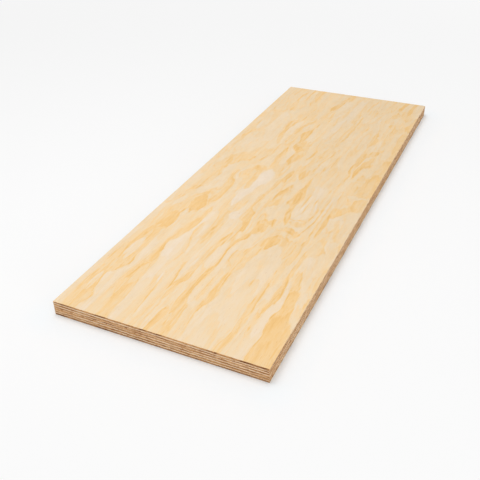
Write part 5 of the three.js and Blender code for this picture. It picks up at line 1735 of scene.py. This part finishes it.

# %% [markdown]
# An outer veneer is sanded wood that turns to sawn edge round its arris, with summer wood just where a
# gold band of the face runs over it. The teeth come in through one outer veneer and out through the
# other, and toast both. Under the face the glue line is paler, so dashes stand out in it. The end grain
# on the back's edge is painted the darkest: in part its own darker wood, and in part painted shade
# where the sheet meets the floor.

# %% Outer veneers
FACE_BUMP = 0.00004  # metres
SANDED_SPECULAR = 0.35
SAWN_LOOK = (0.55, 0.98)  # cosines of the turn round the arris, between which it comes
FACE_EDGE = {"Spring Across": paint(222, 164, 103), "Summer Across": paint(108, 52, 10),
             "Glue Colour": paint(176, 112, 60), "Dash Rarity": 0.53}
# The back's end grain is painted darker: in part its own wood, in part painted shade by the floor
BACK_EDGE_WITH_PAINTED_SHADE = {"Spring Across": paint(196, 142, 88), "Summer Across": paint(120, 68, 22), "Dash Rarity": 0.5}


def outer_wood(name, edge_look):
    """The wood of the face or the back, sanded on its outside and sawn on its rim."""
    material, tree, shader = new_wood(name, SANDED_SPECULAR)
    grain = grain_frame(tree, False)
    carried = {socket: value_at(tree, socket.lower()) for socket in ("Figure", "Years", "Shade")}
    face = use_group(tree, sanded_wood, {"Grain": grain, **carried})
    edge = sawn_outputs(tree, grain, face["Summer Wood"], edge_look)
    sawn = remap(tree, value_at(tree, "sawn"), *SAWN_LOOK)
    colour = blend_colour(tree, sawn, face["Colour"], edge["Colour"])
    rough = place(tree, "Mix", {0: sawn, 2: face["Roughness"], 3: edge["Roughness"]}).outputs[0]
    sawn_height = calc(tree, "MULTIPLY", edge["Height"], EDGE_BUMP / FACE_BUMP)
    height = place(tree, "Mix", {0: sawn, 2: face["Height"], 3: sawn_height}).outputs[0]
    dress(tree, shader, colour, rough, height, FACE_BUMP)
    return material


face_pine = outer_wood("sanded_face_pine", FACE_EDGE)
back_pine = outer_wood("sanded_back_pine", BACK_EDGE_WITH_PAINTED_SHADE)
print("Materials", face_pine.name, "and", back_pine.name)

# %% [markdown]
# Everything is ready to dress the sheet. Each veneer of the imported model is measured, its detailed
# twin is made between the same two heights, and the twin takes its place, its finish and its body.

# %% Dress every veneer
FIRST_SEED, SEEDS_EACH = 200, 7
total = 0
for number, name in enumerate(sorted(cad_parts, key=lambda node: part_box(node)[0].z)):
    low, high = (1000 * corner.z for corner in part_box(name))
    seed = FIRST_SEED + SEEDS_EACH * number
    if name == "face_veneer":
        piece = outer_veneer("sanded_" + name, low, high, drawn_figure, True, seed)
        wood, slot = face_pine, "face_pine"
    elif name == "back_veneer":
        piece = outer_veneer("sanded_" + name, low, high, grown_figure, False, seed)
        wood, slot = back_pine, "face_pine"
    elif name.startswith("crossband"):
        piece = middle_veneer("sawn_" + name, low, high, True, seed)
        wood, slot = crossband_wood, "crossband_pine"
    else:
        piece = middle_veneer("sawn_" + name, low, high, False, seed)
        wood, slot = centre_wood, "centre_pine"
    piece.data.materials.append(wood)
    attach(piece, "root")
    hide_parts(name)
    triangles = sum(len(face.vertices) - 2 for face in piece.data.polygons)
    total += triangles
    print(piece.name, triangles, "triangles")
print("All together", total, "triangles")
